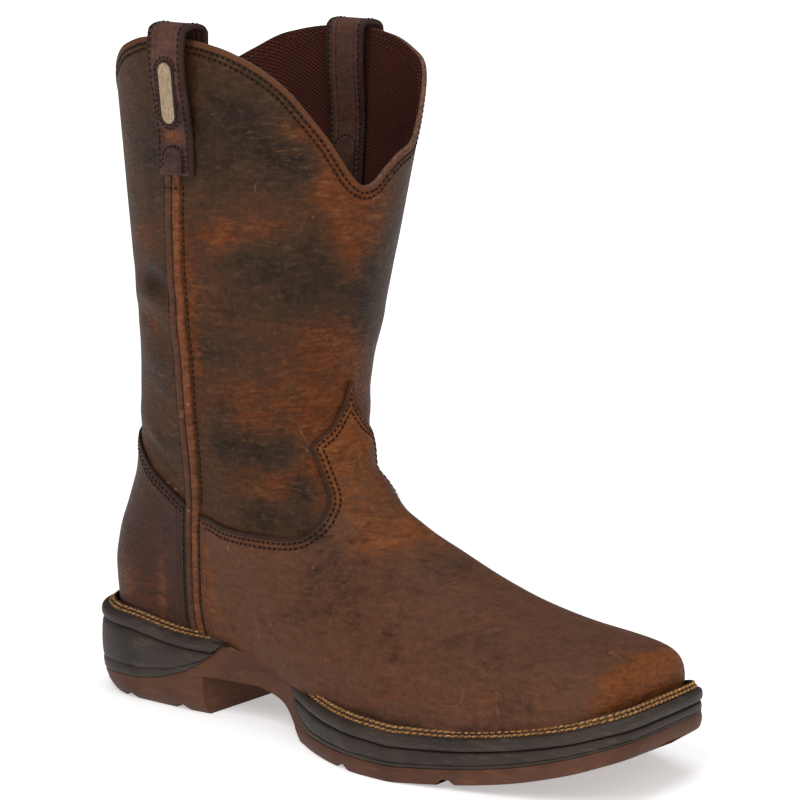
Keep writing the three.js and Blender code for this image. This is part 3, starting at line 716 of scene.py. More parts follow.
def add_modifier(piece, kind, **settings):
    """Adds a modifier of a kind to a piece, with its settings."""
    modifier = piece.modifiers.new(kind.lower(), kind)
    for key, value in settings.items():
        setattr(modifier, key, value)


def close_ends(bm):
    """Fills the open ends of a tube and turns its faces outwards."""
    rims = [edge for edge in bm.edges if edge.is_boundary]
    bmesh.ops.holes_fill(bm, edges=rims, sides=0)
    face_out(bm)


def soften(piece, width):
    """Rounds the sharp edges of a panel once its wall has its thickness."""
    add_modifier(
        piece, "BEVEL", width=width * MM, segments=2, limit_method="ANGLE",
        angle_limit=math.radians(SOFTENED_FROM), use_clamp_overlap=False,
    )


def sweep(path, section, name, materials):
    """A closed bar along a path of (place, normal), through a section of (across, height)."""
    frames = []
    for i, (spot, normal) in enumerate(path):
        run = path[min(i + 1, len(path) - 1)][0] - path[max(i - 1, 0)][0]
        sideways = normal.cross(run).normalized()
        frames.append((spot, sideways, run.cross(sideways).normalized()))
    count = len(section)

    def place(column, row):
        spot, sideways, outwards = frames[row]
        off, height = section[column % count]
        return spot + sideways * off + outwards * height

    bm = grid_mesh(count, len(frames) - 1, place)
    close_ends(bm)
    return new_mesh(bm, name, materials, sharp=60)


def repeated(template, matrices, name, materials):
    """Many copies of one small shape joined into one mesh."""
    source = bpy.data.meshes.new(name + "_one")
    template.to_mesh(source)
    template.free()
    joined = bmesh.new()
    for matrix in matrices:
        copy = source.copy()
        copy.transform(matrix)
        joined.from_mesh(copy)
        bpy.data.meshes.remove(copy)
    bpy.data.meshes.remove(source)
    return new_mesh(joined, name, materials)


def stitch_shape(length, width, height):
    """One stitch: a short thread that dips into the leather at both ends."""
    bm = bmesh.new()
    bmesh.ops.create_uvsphere(bm, u_segments=6, v_segments=5, radius=0.5)
    bmesh.ops.rotate(bm, matrix=Matrix.Rotation(math.pi / 2, 3, "Y"), verts=bm.verts)
    bmesh.ops.scale(bm, vec=(length, width, height), verts=bm.verts)
    return bm


def stitch_places(line, pitch, lift, start=0.0, slant=0.0):
    """Where the stitches of one row lie, along a line of (place, normal)."""
    lengths = lengths_along([spot for spot, normal in line])
    count = int((lengths[-1] - start) / pitch)
    out = []
    i = 0
    for k in range(count):
        want = start + pitch * (k + 0.5)
        while i < len(line) - 2 and lengths[i + 1] < want:
            i += 1
        (a, normal_a), (b, normal_b) = line[i], line[i + 1]
        t = share_of((want - lengths[i]) / ((lengths[i + 1] - lengths[i]) or 1))
        normal = normal_a.lerp(normal_b, t).normalized()
        run = (b - a).normalized()
        if slant:
            run = Matrix.Rotation(slant, 3, normal) @ run
        sideways = normal.cross(run).normalized()
        basis = Matrix((run, sideways, normal)).transposed().to_4x4()
        out.append(Matrix.Translation(a.lerp(b, t) + normal * lift) @ basis)
    return out


def set_values(piece, name, values):
    attribute = piece.data.attributes.new(name, "FLOAT", "POINT")
    attribute.data.foreach_set("value", values)


# Colours and finishes. The two rows of stitches run at these distances from a panel's edge.
FIRST_ROW = 3.0
SECOND_ROW = 5.4
EDGE_REACH = 20.0
NO_EDGE = 12.0


def tone(red, green, blue):
    """A colour given as it looks on a screen, 0 to 255."""
    def straight(value):
        share = value / 255
        return share / 12.92 if share <= 0.04045 else ((share + 0.055) / 1.055) ** 2.4
    return (straight(red), straight(green), straight(blue), 1.0)


class Wire:
    """One value in a material, with the sums that are written on it."""

    def __init__(self, finish, socket):
        self.finish = finish
        self.socket = socket

    def sum(self, operation, first, second):
        return self.finish.node("ShaderNodeMath", {"operation": operation}, {0: first, 1: second})

    def __add__(self, other):
        return self.sum("ADD", self, other)

    def __radd__(self, other):
        return self.sum("ADD", other, self)

    def __sub__(self, other):
        return self.sum("SUBTRACT", self, other)

    def __rsub__(self, other):
        return self.sum("SUBTRACT", other, self)

    def __mul__(self, other):
        return self.sum("MULTIPLY", self, other)

    def __rmul__(self, other):
        return self.sum("MULTIPLY", other, self)

    def distance(self, other):
        gap = self.sum("SUBTRACT", self, other)
        return self.finish.node("ShaderNodeMath", {"operation": "ABSOLUTE"}, {0: gap})

    def most(self, other):
        return self.sum("MAXIMUM", self, other)

    def between(self, low, high):
        """0 below low, 1 above high, and a smooth step between; low may be the larger."""
        return self.finish.node(
            "ShaderNodeMapRange",
            {"interpolation_type": "SMOOTHSTEP"},
            {"Value": self, "From Min": low, "From Max": high, "To Min": 0.0, "To Max": 1.0},
        )


class Finish:
    """A material, built node by node."""

    def __init__(self, name):
        self.material = bpy.data.materials.new(name)
        self.material.use_nodes = True
        self.tree = self.material.node_tree
        self.shader = self.tree.nodes["Principled BSDF"]

    def node(self, kind, settings=None, sockets=None, output=0):
        made = self.tree.nodes.new(kind)
        for key, value in (settings or {}).items():
            setattr(made, key, value)
        for key, value in (sockets or {}).items():
            self.plug(made.inputs[key], value)
        return Wire(self, made.outputs[output])

    def plug(self, socket, value):
        if isinstance(value, Wire):
            self.tree.links.new(value.socket, socket)
        else:
            socket.default_value = value

    def set(self, **sockets):
        for name, value in sockets.items():
            self.plug(self.shader.inputs[name.replace("_", " ")], value)
        return self.material

    def place(self, stretch=(1.0, 1.0, 1.0), turn=(0.0, 0.0, 0.0)):
        spot = self.node("ShaderNodeTexCoord", output="Object")
        if stretch == (1.0, 1.0, 1.0) and turn == (0.0, 0.0, 0.0):
            return spot
        sockets = {"Vector": spot, "Scale": stretch, "Rotation": turn}
        return self.node("ShaderNodeMapping", None, sockets)

    def own_uv(self, stretch, turn=0.0):
        spot = self.node("ShaderNodeUVMap", {"uv_map": "UVMap"})
        sockets = {"Vector": spot, "Scale": stretch, "Rotation": (0.0, 0.0, turn)}
        return self.node("ShaderNodeMapping", None, sockets)

    def attribute(self, name):
        return self.node("ShaderNodeAttribute", {"attribute_name": name}, output="Fac")

    def noise(self, place, scale, detail=3.0, rough=0.55, bend=0.0):
        sockets = {
            "Vector": place, "Scale": scale, "Detail": detail, "Roughness": rough, "Distortion": bend,
        }
        return self.node("ShaderNodeTexNoise", None, sockets)

    def cells(self, place, scale, random=1.0):
        sockets = {"Vector": place, "Scale": scale, "Randomness": random}
        return self.node("ShaderNodeTexVoronoi", {"feature": "F1"}, sockets)

    def mix(self, share, first, second):
        sockets = {0: share, 6: first, 7: second}
        return self.node("ShaderNodeMix", {"data_type": "RGBA"}, sockets, output=2)

    def bump(self, height, depth, normal=None, strength=1.0):
        sockets = {"Height": height, "Distance": depth, "Strength": strength}
        if normal is not None:
            sockets["Normal"] = normal
        return self.node("ShaderNodeBump", None, sockets)


def scratches(finish, place):
    """Thin light marks: level lines of a slow noise, broken up by another."""
    lines = finish.noise(place, 26.0, 1.5, 0.5, 0.6).distance(0.5).between(0.0045, 0.0008)
    broken = finish.noise(place, 34.0, 2.0).between(0.60, 0.68)
    fine = finish.noise(finish.place((1.0, 1.0, 0.35)), 75.0, 1.0, 0.5, 0.9)
    fine_lines = fine.distance(0.48).between(0.010, 0.002)
    fine_broken = finish.noise(place, 55.0, 2.0).between(0.63, 0.72)
    return (lines * broken).most(0.6 * fine_lines * fine_broken)


def specks(finish, place, grains, where):
    """Small dots, at a scale and between two sizes, kept where a noise is high."""
    size, widest, least = grains
    spread_out, start, full = where
    dots = finish.cells(place, size).between(widest, least)
    return dots * finish.noise(place, spread_out).between(start, full)


def leather(name, middle, dark, deep, warm, light, edge_tone, gloss=0.56):
    """Pulled, distressed leather: patches, then mottle, scuffs, specks and grain."""
    finish = Finish(name)
    place = finish.place()
    shade = finish.attribute("shade")
    glow = finish.attribute("glow")
    edge = finish.attribute("edge")
    slow = finish.noise(place, 30.0, 6.0, 0.66, 0.8)
    mottle = finish.noise(place, 110.0, 4.0, 0.62, 0.4)
    fine = finish.noise(place, 420.0, 4.0, 0.75)
    nap = finish.noise(finish.place((1.0, 1.0, 0.3)), 1100.0, 2.0, 0.7)
    streak = finish.noise(finish.place((1.0, 1.0, 2.6), (0.0, 0.45, 0.0)), 90.0, 4.0, 0.62, 1.1)
    wrinkle = finish.noise(finish.place((1.0, 1.0, 3.4), (0.0, 0.5, 0.0)), 150.0, 3.0, 0.6, 0.8)
    darkness = shade + 2.6 * (slow - 0.5) + 2.0 * (mottle - 0.5) + 1.6 * (streak - 0.5)
    warmth = glow + 2.0 * (slow - 0.5) + 2.6 * (streak - 0.5) + 1.0 * (mottle - 0.5)
    folded = warmth.between(0.1, 0.9)
    colour = finish.mix(warmth.between(-0.1, 1.1), middle, warm)
    colour = finish.mix(darkness.between(0.1, 1.0) * 0.85, colour, dark)
    colour = finish.mix(darkness.between(0.7, 1.8) * 0.85, colour, deep)
    # The wrinkles' sunk troughs are darkened as painted shade in the creases. Their raised crests are
    # lightened: partly the leather's own pull-up lightening where it stretches, and partly painted
    # highlight.
    colour = finish.mix(wrinkle.between(0.52, 0.38) * (0.16 + 0.20 * folded), colour, deep)
    colour = finish.mix(wrinkle.between(0.54, 0.68) * (0.08 + 0.14 * folded), colour, light)
    colour = finish.mix(fine.between(0.52, 0.32) * 0.24, colour, deep)
    colour = finish.mix(fine.between(0.52, 0.74) * 0.12, colour, light)
    colour = finish.mix(nap.between(0.52, 0.74) * 0.06, colour, light)
    pale = scratches(finish, place)
    colour = finish.mix(pale * 0.5, colour, light)
    spots = specks(finish, place, (130.0, 0.16, 0.06), (88.0, 0.58, 0.68))
    colour = finish.mix(spots * 0.7, colour, light)
    wander = 0.5 * (finish.noise(place, 240.0) - 0.5)
    burnish = (edge + wander).between(2.5, 1.5)
    colour = finish.mix(burnish * 0.82, colour, edge_tone)
    first_row = edge.distance(FIRST_ROW).between(1.0, 0.1)
    second_row = edge.distance(SECOND_ROW).between(1.0, 0.1)
    rows = first_row.most(second_row)
    # Painted shade along the two stitch rows, darkening the channels that the bump below sinks.
    colour = finish.mix(rows * 0.12, colour, deep)
    grain = finish.noise(place, 640.0, 3.0, 0.6)
    pebble = finish.cells(place, 760.0)
    height = 0.4 * grain + 0.3 * pebble + (0.8 + 1.2 * folded) * wrinkle
    relief = finish.bump(height - 0.3 * pale, 0.0006, strength=0.8)
    channel = finish.bump(1.0 - rows, 0.0006, relief, 0.7)
    rough = gloss + 0.16 * (mottle - 0.5) + 0.10 * (grain - 0.5) - 0.06 * darkness.between(0.3, 1.2)
    return finish.set(
        Base_Color=colour, Roughness=rough, Normal=channel, Specular_IOR_Level=0.10,
    )


def lining_cloth():
    """Maroon mesh lining with rows of small slanted holes."""
    finish = Finish("lining_cloth")
    place = finish.place()
    woven = finish.own_uv((250.0, 104.0, 1.0), math.radians(45))
    holes = finish.cells(woven, 1.0, 0.0).between(0.22, 0.46)
    slow = finish.noise(place, 30.0, 3.0)
    # The holes are painted dark, as the shade inside them; the bump below sinks them.
    colour = finish.mix(holes, tone(36, 17, 14), tone(82, 43, 34))
    colour = finish.mix(slow.between(0.3, 0.75) * 0.5, colour, tone(50, 26, 21))
    relief = finish.bump(holes, 0.0005, strength=0.8)
    return finish.set(Base_Color=colour, Roughness=0.85, Normal=relief, Specular_IOR_Level=0.06)


def raw_edge():
    """The cut edge of the leather, with the fibres showing."""
    finish = Finish("raw_edge")
    place = finish.place()
    fibres = finish.noise(place, 420.0, 4.0, 0.7)
    colour = finish.mix(fibres.between(0.35, 0.7), tone(62, 38, 27), tone(116, 72, 44))
    return finish.set(Base_Color=colour, Roughness=0.8, Normal=finish.bump(fibres, 0.0003))


def rubber(name, base, dark, pale, gloss):
    """Moulded rubber with dust, faint scuffs and a soft skin."""
    finish = Finish(name)
    place = finish.place()
    slow = finish.noise(place, 38.0, 4.0, 0.6, 0.3)
    fine = finish.noise(place, 520.0, 4.0, 0.65)
    streak = finish.noise(finish.place((1.0, 1.0, 5.0)), 90.0, 3.0, 0.6)
    colour = finish.mix(slow.between(0.3, 0.7), dark, base)
    colour = finish.mix(streak.between(0.52, 0.75) * 0.35, colour, pale)
    dust = specks(finish, place, (260.0, 0.13, 0.05), (160.0, 0.56, 0.66))
    colour = finish.mix(dust * 0.5, colour, pale)
    relief = finish.bump(0.6 * fine + 0.5 * streak, 0.0002, strength=0.6)
    rough = gloss + 0.18 * (slow - 0.5) + 0.12 * (fine - 0.5)
    return finish.set(Base_Color=colour, Roughness=rough, Normal=relief, Specular_IOR_Level=0.22)


def thread(name, base, dark):
    """Twisted sewing thread."""
    finish = Finish(name)
    place = finish.place()
    twist = finish.noise(place, 900.0, 2.0)
    worn = finish.noise(place, 120.0, 3.0)
    colour = finish.mix(twist.between(0.35, 0.65), dark, base)
    colour = finish.mix(worn.between(0.55, 0.75) * 0.5, colour, dark)
    return finish.set(
        Base_Color=colour, Roughness=0.7, Normal=finish.bump(twist, 0.0002), Specular_IOR_Level=0.12,
    )


def badge_cloth():
    """Plain tan woven cloth."""
    finish = Finish("badge_cloth")
    place = finish.place()
    weave = finish.noise(finish.place((1.0, 1.0, 0.5)), 1500.0, 2.0)
    worn = finish.noise(place, 120.0, 3.0)
    colour = finish.mix(weave.between(0.35, 0.65), tone(128, 106, 82), tone(164, 142, 112))
    colour = finish.mix(worn.between(0.45, 0.8) * 0.5, colour, tone(122, 98, 74))
    return finish.set(Base_Color=colour, Roughness=0.75, Normal=finish.bump(weave, 0.0002))


def insole_cloth():
    """Dark brown felted cloth on the sock that the foot stands on."""
    finish = Finish("insole_cloth")
    place = finish.place()
    nap = finish.noise(place, 800.0, 3.0)
    slow = finish.noise(place, 25.0, 3.0)
    colour = finish.mix(nap.between(0.3, 0.7), tone(48, 33, 28), tone(74, 52, 44))
    colour = finish.mix(slow.between(0.4, 0.8) * 0.4, colour, tone(40, 27, 24))
    return finish.set(Base_Color=colour, Roughness=0.9, Normal=finish.bump(nap, 0.0003))


ESPRESSO = tone(46, 33, 22)
BLACKISH = tone(23, 16, 10)
PALE_SCUFF = tone(138, 100, 68)
shaft_leather = leather(
    "shaft_leather", tone(65, 41, 26), ESPRESSO, BLACKISH, tone(97, 50, 22), PALE_SCUFF, tone(92, 55, 34),
)
vamp_leather = leather(
    "vamp_leather", tone(88, 56, 39), tone(63, 42, 32), BLACKISH, tone(116, 64, 30), PALE_SCUFF,
    tone(40, 28, 23),
)
counter_leather = leather(
    "counter_leather", tone(63, 38, 30), tone(50, 32, 29), tone(28, 19, 18), tone(104, 60, 38),
    tone(116, 80, 58), tone(40, 26, 22), 0.50,
)
strap_leather = leather(
    "strap_leather", tone(80, 54, 47), tone(52, 35, 32), tone(30, 20, 19), tone(110, 62, 36), PALE_SCUFF,
    tone(40, 26, 22), 0.50,
)
bead_leather = leather(
    "bead_leather", tone(76, 48, 36), tone(50, 34, 28), BLACKISH, tone(112, 64, 38), PALE_SCUFF,
    tone(46, 28, 20),
)
lining = lining_cloth()
cut_leather = raw_edge()
dark_rubber = rubber("dark_rubber", tone(58, 48, 42), tone(42, 35, 30), tone(98, 84, 72), 0.58)
gum_rubber = rubber("gum_rubber", tone(90, 56, 39), tone(70, 42, 29), tone(122, 80, 56), 0.64)
dark_thread = thread("dark_thread", tone(34, 18, 12), tone(18, 9, 6))
gold_thread = thread("gold_thread", tone(182, 134, 82), tone(112, 74, 40))
badge_tan = badge_cloth()
insole_tan = insole_cloth()

# Patches of the leather: side, place in the side view, half sizes, dark and warm.
# Near the front and back lines a patch runs on across to the other side.
PATCH_OVERLAP = 12
PATCH_REACH = 6
PATCHES = (
    (OUTER, 84, 279, 24, 26, 1.0, 0.0),
    (OUTER, 60, 262, 16, 26, 0.7, 0.0),
    (OUTER, 30, 268, 12, 34, 0.9, 0.0),
    (OUTER, 101, 257, 12, 14, 0.9, 0.0),
    (OUTER, 97, 204, 20, 22, 1.1, 0.0),
    (OUTER, 82, 214, 14, 12, 0.7, 0.0),
    (OUTER, 26, 204, 10, 10, 1.1, 0.0),
    (OUTER, 22, 163, 10, 16, 0.8, 0.0),
    (OUTER, 62, 176, 14, 12, 0.7, 0.0),
    (OUTER, 64, 146, 9, 8, 0.8, 0.0),
    (OUTER, 56, 134, 9, 8, 0.7, 0.0),
    (OUTER, 78, 128, 26, 9, 0.9, 0.0),
    (OUTER, 92, 112, 7, 6, 1.3, 0.0),
    (OUTER, 83, 99, 24, 8, 1.0, 0.0),
    (OUTER, 22, 125, 10, 10, 0.8, 0.0),
    (OUTER, 66, 226, 12, 7, -0.3, 1.0),
    (OUTER, 84, 231, 12, 6, -0.2, 0.8),
    (OUTER, 50, 197, 4, 44, -0.3, 0.8),
    (OUTER, 52, 270, 8, 3, -0.3, 1.1),
    (OUTER, 101, 177, 14, 14, -0.4, 0.9),
    (OUTER, 112, 225, 5, 54, -0.5, 1.0),
    (OUTER, 113, 246, 10, 7, -0.2, 0.8),
    (OUTER, 85, 153, 26, 11, -0.3, 0.7),
    (OUTER, 69, 141, 7, 6, -0.2, 0.8),
    (OUTER, 102, 269, 9, 9, -0.4, 0.9),
    (OUTER, 20, 222, 10, 6, -0.3, 0.6),
    (OUTER, 20, 184, 10, 6, -0.2, 0.5),
    (OUTER, 80, 114, 14, 6, -0.4, 0.7),
    (OUTER, 97, 134, 9, 24, -0.5, 1.0),
    (OUTER, 131, 95, 14, 9, -0.3, 0.8),
    (OUTER, 112, 108, 10, 10, -0.3, 0.6),
    (OUTER, 42, 60, 6, 26, -0.3, 0.7),
    (OUTER, 259, 53, 5, 3.0, -0.4, 1.4),
    (OUTER, 262, 44, 8, 9, -0.4, 0.8),
    (INNER, 259, 53, 5, 3.0, -0.4, 1.4),
    (INNER, 262, 44, 8, 9, -0.4, 0.8),
    (OUTER, 224, 43, 8, 14, 0.5, 0.0),
    (OUTER, 112, 82, 22, 18, 0.6, 0.0),
    (OUTER, 150, 62, 30, 14, 0.35, 0.0),
    (OUTER, 199, 58, 28, 7, 0.5, 0.0),
    # A narrow dark band along the instep's top edge: painted sheen, standing in for the greyish dark that
    # grazing light gives there.
    (OUTER, 160, 82, 22, 5, 0.6, 0.0),
    (OUTER, 90, 52, 24, 10, 0.3, 0.0),
    # A long dark strip on the vamp just above the sole: painted shade where the vamp meets the welt.
    (OUTER, 190, 25, 60, 4, 0.8, 0.0),
    (OUTER, 9, 56, 3, 15, -0.2, 1.0),
    (OUTER, -15, 56, 7, 10, -0.2, 0.7),
    (OUTER, 14, 90, 12, 14, 0.5, 0.0),
    (OUTER, 26, 60, 7, 24, 0.5, 0.0),
    (INNER, 109, 208, 8, 34, 0.9, 0.0),
    (INNER, 84, 268, 26, 24, 0.8, 0.0),
    (INNER, 34, 236, 16, 26, 0.8, 0.0),
    (INNER, 88, 190, 20, 18, 0.9, 0.0),
    (INNER, 30, 170, 16, 18, 0.7, 0.0),
    (INNER, 72, 126, 22, 10, 0.8, 0.0),
    (INNER, 78, 222, 16, 8, -0.3, 0.9),
    (INNER, 50, 150, 20, 12, -0.3, 0.7),
    (INNER, 98, 140, 10, 26, -0.4, 0.9),
    (INNER, 128, 92, 16, 10, -0.3, 0.7),
    (INNER, 120, 66, 24, 14, 0.6, 0.0),
    (INNER, 190, 54, 28, 10, 0.5, 0.0),
    (INNER, 252, 50, 12, 6, -0.3, 1.0),
    (INNER, 6, 66, 12, 18, 0.5, 0.0),
)


def patch_values(spots):
    """How dark and how warm the patches make the leather at each place."""
    shades, glows = [], []
    for spot in spots:
        side = OUTER if spot.y < 0 else INNER
        shade, glow = 0.0, 0.0
        for owner, x, z, half_x, half_z, dark, warm in PATCHES:
            if owner != side and abs(spot.y) > PATCH_OVERLAP:
                continue
            far = ((spot.x - x) / half_x) ** 2 + ((spot.z - z) / half_z) ** 2
            if far > PATCH_REACH:
                continue
            share = math.exp(-far)
            if owner != side:
                share *= 1 - abs(spot.y) / PATCH_OVERLAP
            shade += dark * share
            glow += warm * share
        shades.append(shade)
        glows.append(glow)
    return shades, glows


def paint(piece, edges, shade=0.0, glow=0.0):
    """Stores the dark and warm patches and the distance to the edge on a leather piece."""
    spots = [vert.co / MM for vert in piece.data.vertices]
    shades, glows = patch_values(spots)
    set_values(piece, "shade", [value + shade for value in shades])
    set_values(piece, "glow", [value + glow for value in glows])
    set_values(piece, "edge", edges)


# The hollow upper, with its lining inside
UPPER_TALL = 2.2


def make_upper():
    """The leg and foot in one wall, with a UV map as tall as the upper is against its round."""
    def place(column, row):
        return SKIN[row][column % ROUND]

    bm = grid_mesh(ROUND, TOP_ROW, place)
    uv = bm.loops.layers.uv.active
    for face in bm.faces:
        for loop in face.loops:
            loop[uv].uv.y *= UPPER_TALL
    face_out(bm)
    piece = new_mesh(bm, "upper_shell", [shaft_leather, lining, cut_leather])
    edge_tree = tree_of(SKIN[TOP_ROW])
    edges = [min(edge_tree.find(vert.co / MM)[2], EDGE_REACH) for vert in piece.data.vertices]
    paint(piece, edges)
    add_modifier(
        piece, "SOLIDIFY", thickness=UPPER_WALL * MM, offset=-1.0, use_even_offset=True,
        material_offset=1, material_offset_rim=2,
    )
    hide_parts("upper")


make_upper()

# The side seam, the tongue's outline and the counter's top edge
SEAM = table(
    ("up", "along"),
    (up, along),
    (
        (0.09, 0.248),
        (0.19, 0.240),
        (0.26, 0.242),
        (0.33, 0.254),
        (0.41, 0.265),
        (0.48, 0.272),
        (0.64, 0.277),
        (0.72, 0.283),
        (0.80, 0.292),
        (0.85, 0.299),
    ),
)["along"]
TONGUE_TIP = (
    (0.196, 0.417),
    (0.155, 0.430),
    (0.105, 0.443),
    (0.063, 0.460),
    (0.039, 0.474),
    (0.021, 0.497),
    (0.000, 0.513),
)
TONGUE_SIDE = (
    (0.431, 0.417),
    (0.442, 0.393),
    (0.453, 0.373),
    (0.464, 0.354),
    (0.470, 0.338),
    (0.469, 0.321),
    (0.461, 0.307),
    (0.444, 0.295),
    (0.413, 0.292),
    (0.372, 0.293),
    (0.319, 0.296),
    (0.276, 0.305),
)
COUNTER_ROWS = (
    (0.232, 0.318),
    (0.222, 0.327),
    (0.199, 0.343),
    (0.170, 0.362),
    (0.137, 0.389),
    (0.112, 0.406),
    (0.085, 0.421),
    (0.060, 0.428),
)
BEAD_WIDTH = 3.8
BEAD_GAP = 0.7
BEAD_HEIGHT = 1.8
SEAM_HALF = BEAD_WIDTH + BEAD_GAP / 2 + CLEARANCE
BAR_TACK_DROP = 5.6
BEAD_STEP = 1.2
PANEL_STEP = 2.0


def settle(points):
    return [on_skin(point)[0] for point in points]


def vamp_line(side):
    """The vamp's top edge on one side, from the front line's apex to the side seam."""
    apex = up(TONGUE_TIP[-1][1])
    tip = [Vector((front_line(apex), 0.0, apex))]
    tip += [at_front(across(y), up(z), side) for y, z in TONGUE_TIP[:-1][::-1]]
    flank = [at_side(along(x), up(z), side) for x, z in TONGUE_SIDE]
    top = up(TONGUE_SIDE[-1][1])
    flank.append(at_side(SEAM(top) + SEAM_HALF, top, side))
    return settle(smooth_line(tip) + smooth_line(flank)[1:])


def seam_line(side, offset, top, low, step=BEAD_STEP):
    """A line beside the side seam, from a height down to another."""
    count = int((top - low) / step)
    heights = [top + (low - top) * i / count for i in range(count + 1)]
    return settle([at_side(SEAM(z) + offset, z, side) for z in heights])


def counter_line(side):
    rows = [at_side(along(x), up(z), side) for x, z in COUNTER_ROWS]
    start = at_side(SEAM(up(COUNTER_ROWS[0][1])) - SEAM_HALF, up(COUNTER_ROWS[0][1]), side)
    height = up(COUNTER_ROWS[-1][1] + 0.004)
    rear = Vector((BACK["along"](height), 0.0, height))
    return settle(smooth_line([start] + rows[1:] + [rear]))


SEAM_LOW = seat_at(SEAM(up(0.1)))
VAMP_TOP = up(TONGUE_SIDE[-1][1])
COUNTER_TOP = up(COUNTER_ROWS[0][1])


def vamp_outline():
    halves = {}
    for side in (OUTER, INNER):
        seam = seam_line(side, SEAM_HALF, VAMP_TOP, SEAM_LOW, PANEL_STEP)
        halves[side] = vamp_line(side) + seam[1:]
    return halves[OUTER][::-1] + halves[INNER][1:]


def counter_outline():
    halves = {}
    for side in (OUTER, INNER):
        seam = seam_line(side, -SEAM_HALF, COUNTER_TOP, SEAM_LOW, PANEL_STEP)
        halves[side] = seam[::-1] + counter_line(side)[1:]
    return halves[OUTER] + halves[INNER][::-1][1:]


def nearest_on_line(points, tree, spot):
    """The nearest place on a line of points, and how far it is."""
    index = tree.find(spot)[1]
    best, best_far = points[index], (points[index] - spot).length
    for a, b in ((index - 1, index), (index, index + 1)):
        if a < 0 or b >= len(points):
            continue
        run = points[b] - points[a]
        t = share_of((spot - points[a]).dot(run) / max(run.length_squared, 1e-9))
        near = points[a] + run * t
        if (near - spot).length < best_far:
            best, best_far = near, (near - spot).length
    return best, best_far


def inside(polygon, column, row):
    hit = False
    for (c0, r0), (c1, r1) in zip(polygon, polygon[1:] + polygon[:1]):
        if (r0 > row) != (r1 > row) and column < c0 + (row - r0) / (r1 - r0) * (c1 - c0):
            hit = not hit
    return hit


def rounded_place(point):
    """A place as a key that is the same for vertices that meet."""
    return tuple(round(value, 3) for value in point)


CHART_MARGIN = 3
RIM_WELD = 0.3
INSIDE_BOOT = Vector((40.0, 0.0, 100.0))


def panel(name, outline, centre, materials, lift):
    """A leather panel laid on the skin inside an outline whose two ends reach the sole."""
    tree = tree_of(outline)

    def about_centre(column):
        return (column - centre + COLUMNS) % ROUND - COLUMNS

    chart = []
    for point in outline:
        row, column = locate(point)
        chart.append((about_centre(column), row))
    chart = [(chart[0][0], -CHART_MARGIN)] + chart + [(chart[-1][0], -CHART_MARGIN)]
    top = min(int(max(row for column, row in chart)) + CHART_MARGIN, TOP_ROW)
    reach = min(int(max(abs(column) for column, row in chart)) + CHART_MARGIN, COLUMNS - 1)

    def place(column, row):
        at = (column - reach + centre) % ROUND
        return SKIN[row][at]

    bm = grid_mesh(2 * reach, top, place, closed=False)
    uv = bm.loops.layers.uv.active
    lost = []
    for face in bm.faces:
        corners = [loop[uv].uv for loop in face.loops]
        column = sum(corner.x for corner in corners) / 4 * 2 * reach - reach
        row = sum(corner.y for corner in corners) / 4 * top
        if not inside(chart, column, row):
            lost.append(face)
    bmesh.ops.delete(bm, geom=lost, context="FACES")
    bottom = {rounded_place(point) for point in SKIN[0]}
    edges = {}
    for vert in bm.verts:
        near, far = nearest_on_line(outline, tree, vert.co)
        on_rim = vert.is_boundary and rounded_place(vert.co) not in bottom
        edges[vert] = 0.0 if on_rim else far
        if on_rim:
            vert.co = near
    for vert in bm.verts:
        vert.co = on_skin(vert.co, lift)[0]
    bmesh.ops.remove_doubles(bm, verts=bm.verts, dist=RIM_WELD)
    values = [min(edges[vert], EDGE_REACH) for vert in bm.verts]
    face_out(bm)
    piece = new_mesh(bm, name, materials)
    first = piece.data.polygons[0]
    if first.normal.dot(first.center - INSIDE_BOOT * MM) < 0:
        piece.data.flip_normals()
    paint(piece, values)
    add_modifier(piece, "SOLIDIFY", thickness=OVERLAY * MM, offset=-1.0, use_even_offset=True)
    soften(piece, 0.4)
    return piece


OVER = CLEARANCE + OVERLAY
vamp = panel("vamp_panel", vamp_outline(), 0, [vamp_leather], OVER)
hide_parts("vamp")
counter = panel("counter_panel", counter_outline(), COLUMNS, [counter_leather], OVER)
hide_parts("counter")


# Rows of stitches along the leather's edges
FOLDED_BACK = 0.93


def inward_line(outline, distance, lift):
    """A line at a distance inside an outline, on the skin, without the places that fold back."""
    tree = tree_of(outline)
    out = []
    for i in range(1, len(outline) - 1):
        normal = on_skin(outline[i])[1]
        run = (outline[i + 1] - outline[i - 1]).normalized()
        spot, normal = on_skin(outline[i] + normal.cross(run).normalized() * distance)
        if nearest_on_line(outline, tree, spot)[1] > FOLDED_BACK * distance:
            out.append((spot + normal * lift, normal))
    return out


def thinned(line, least=0.9):
    """A line without places closer than a least step, so that its run stays smooth."""
    out = [line[0]]
    for spot in line[1:]:
        if (spot[0] - out[-1][0]).length >= least:
            out.append(spot)
    return out


SEWN_LENGTH = 1.9
SEWN_WIDTH = 0.9
SEWN_HEIGHT = 0.6
SEWN_PITCH = 2.7
SEWN_LIFT = 0.08
ON_LEATHER = 0.05
LINING_ROWS = (3.2, 6.4)


def sew(name, lines, material, length=SEWN_LENGTH, width=SEWN_WIDTH, pitch=SEWN_PITCH):
    """One piece with all the stitches of some rows, each row a line of (place, normal)."""
    places = []
    for line in lines:
        places += stitch_places(thinned(line), pitch, SEWN_LIFT)
    template = stitch_shape(length, width, SEWN_HEIGHT)
    piece = repeated(template, places, name, [material])


VAMP_EDGE = vamp_line(OUTER)[::-1] + vamp_line(INNER)[1:]
COUNTER_EDGE = counter_line(OUTER) + counter_line(INNER)[::-1][1:]


def turned_inward(edge, target, distance, lift):
    """A line at a distance from an edge, on the side of it where a target lies."""
    line = inward_line(edge, distance, lift)
    other = inward_line(edge[::-1], distance, lift)

    def reach(spots):
        return sum((spot - target).length for spot, normal in spots) / max(len(spots), 1)

    return line if reach(line) < reach(other) else other


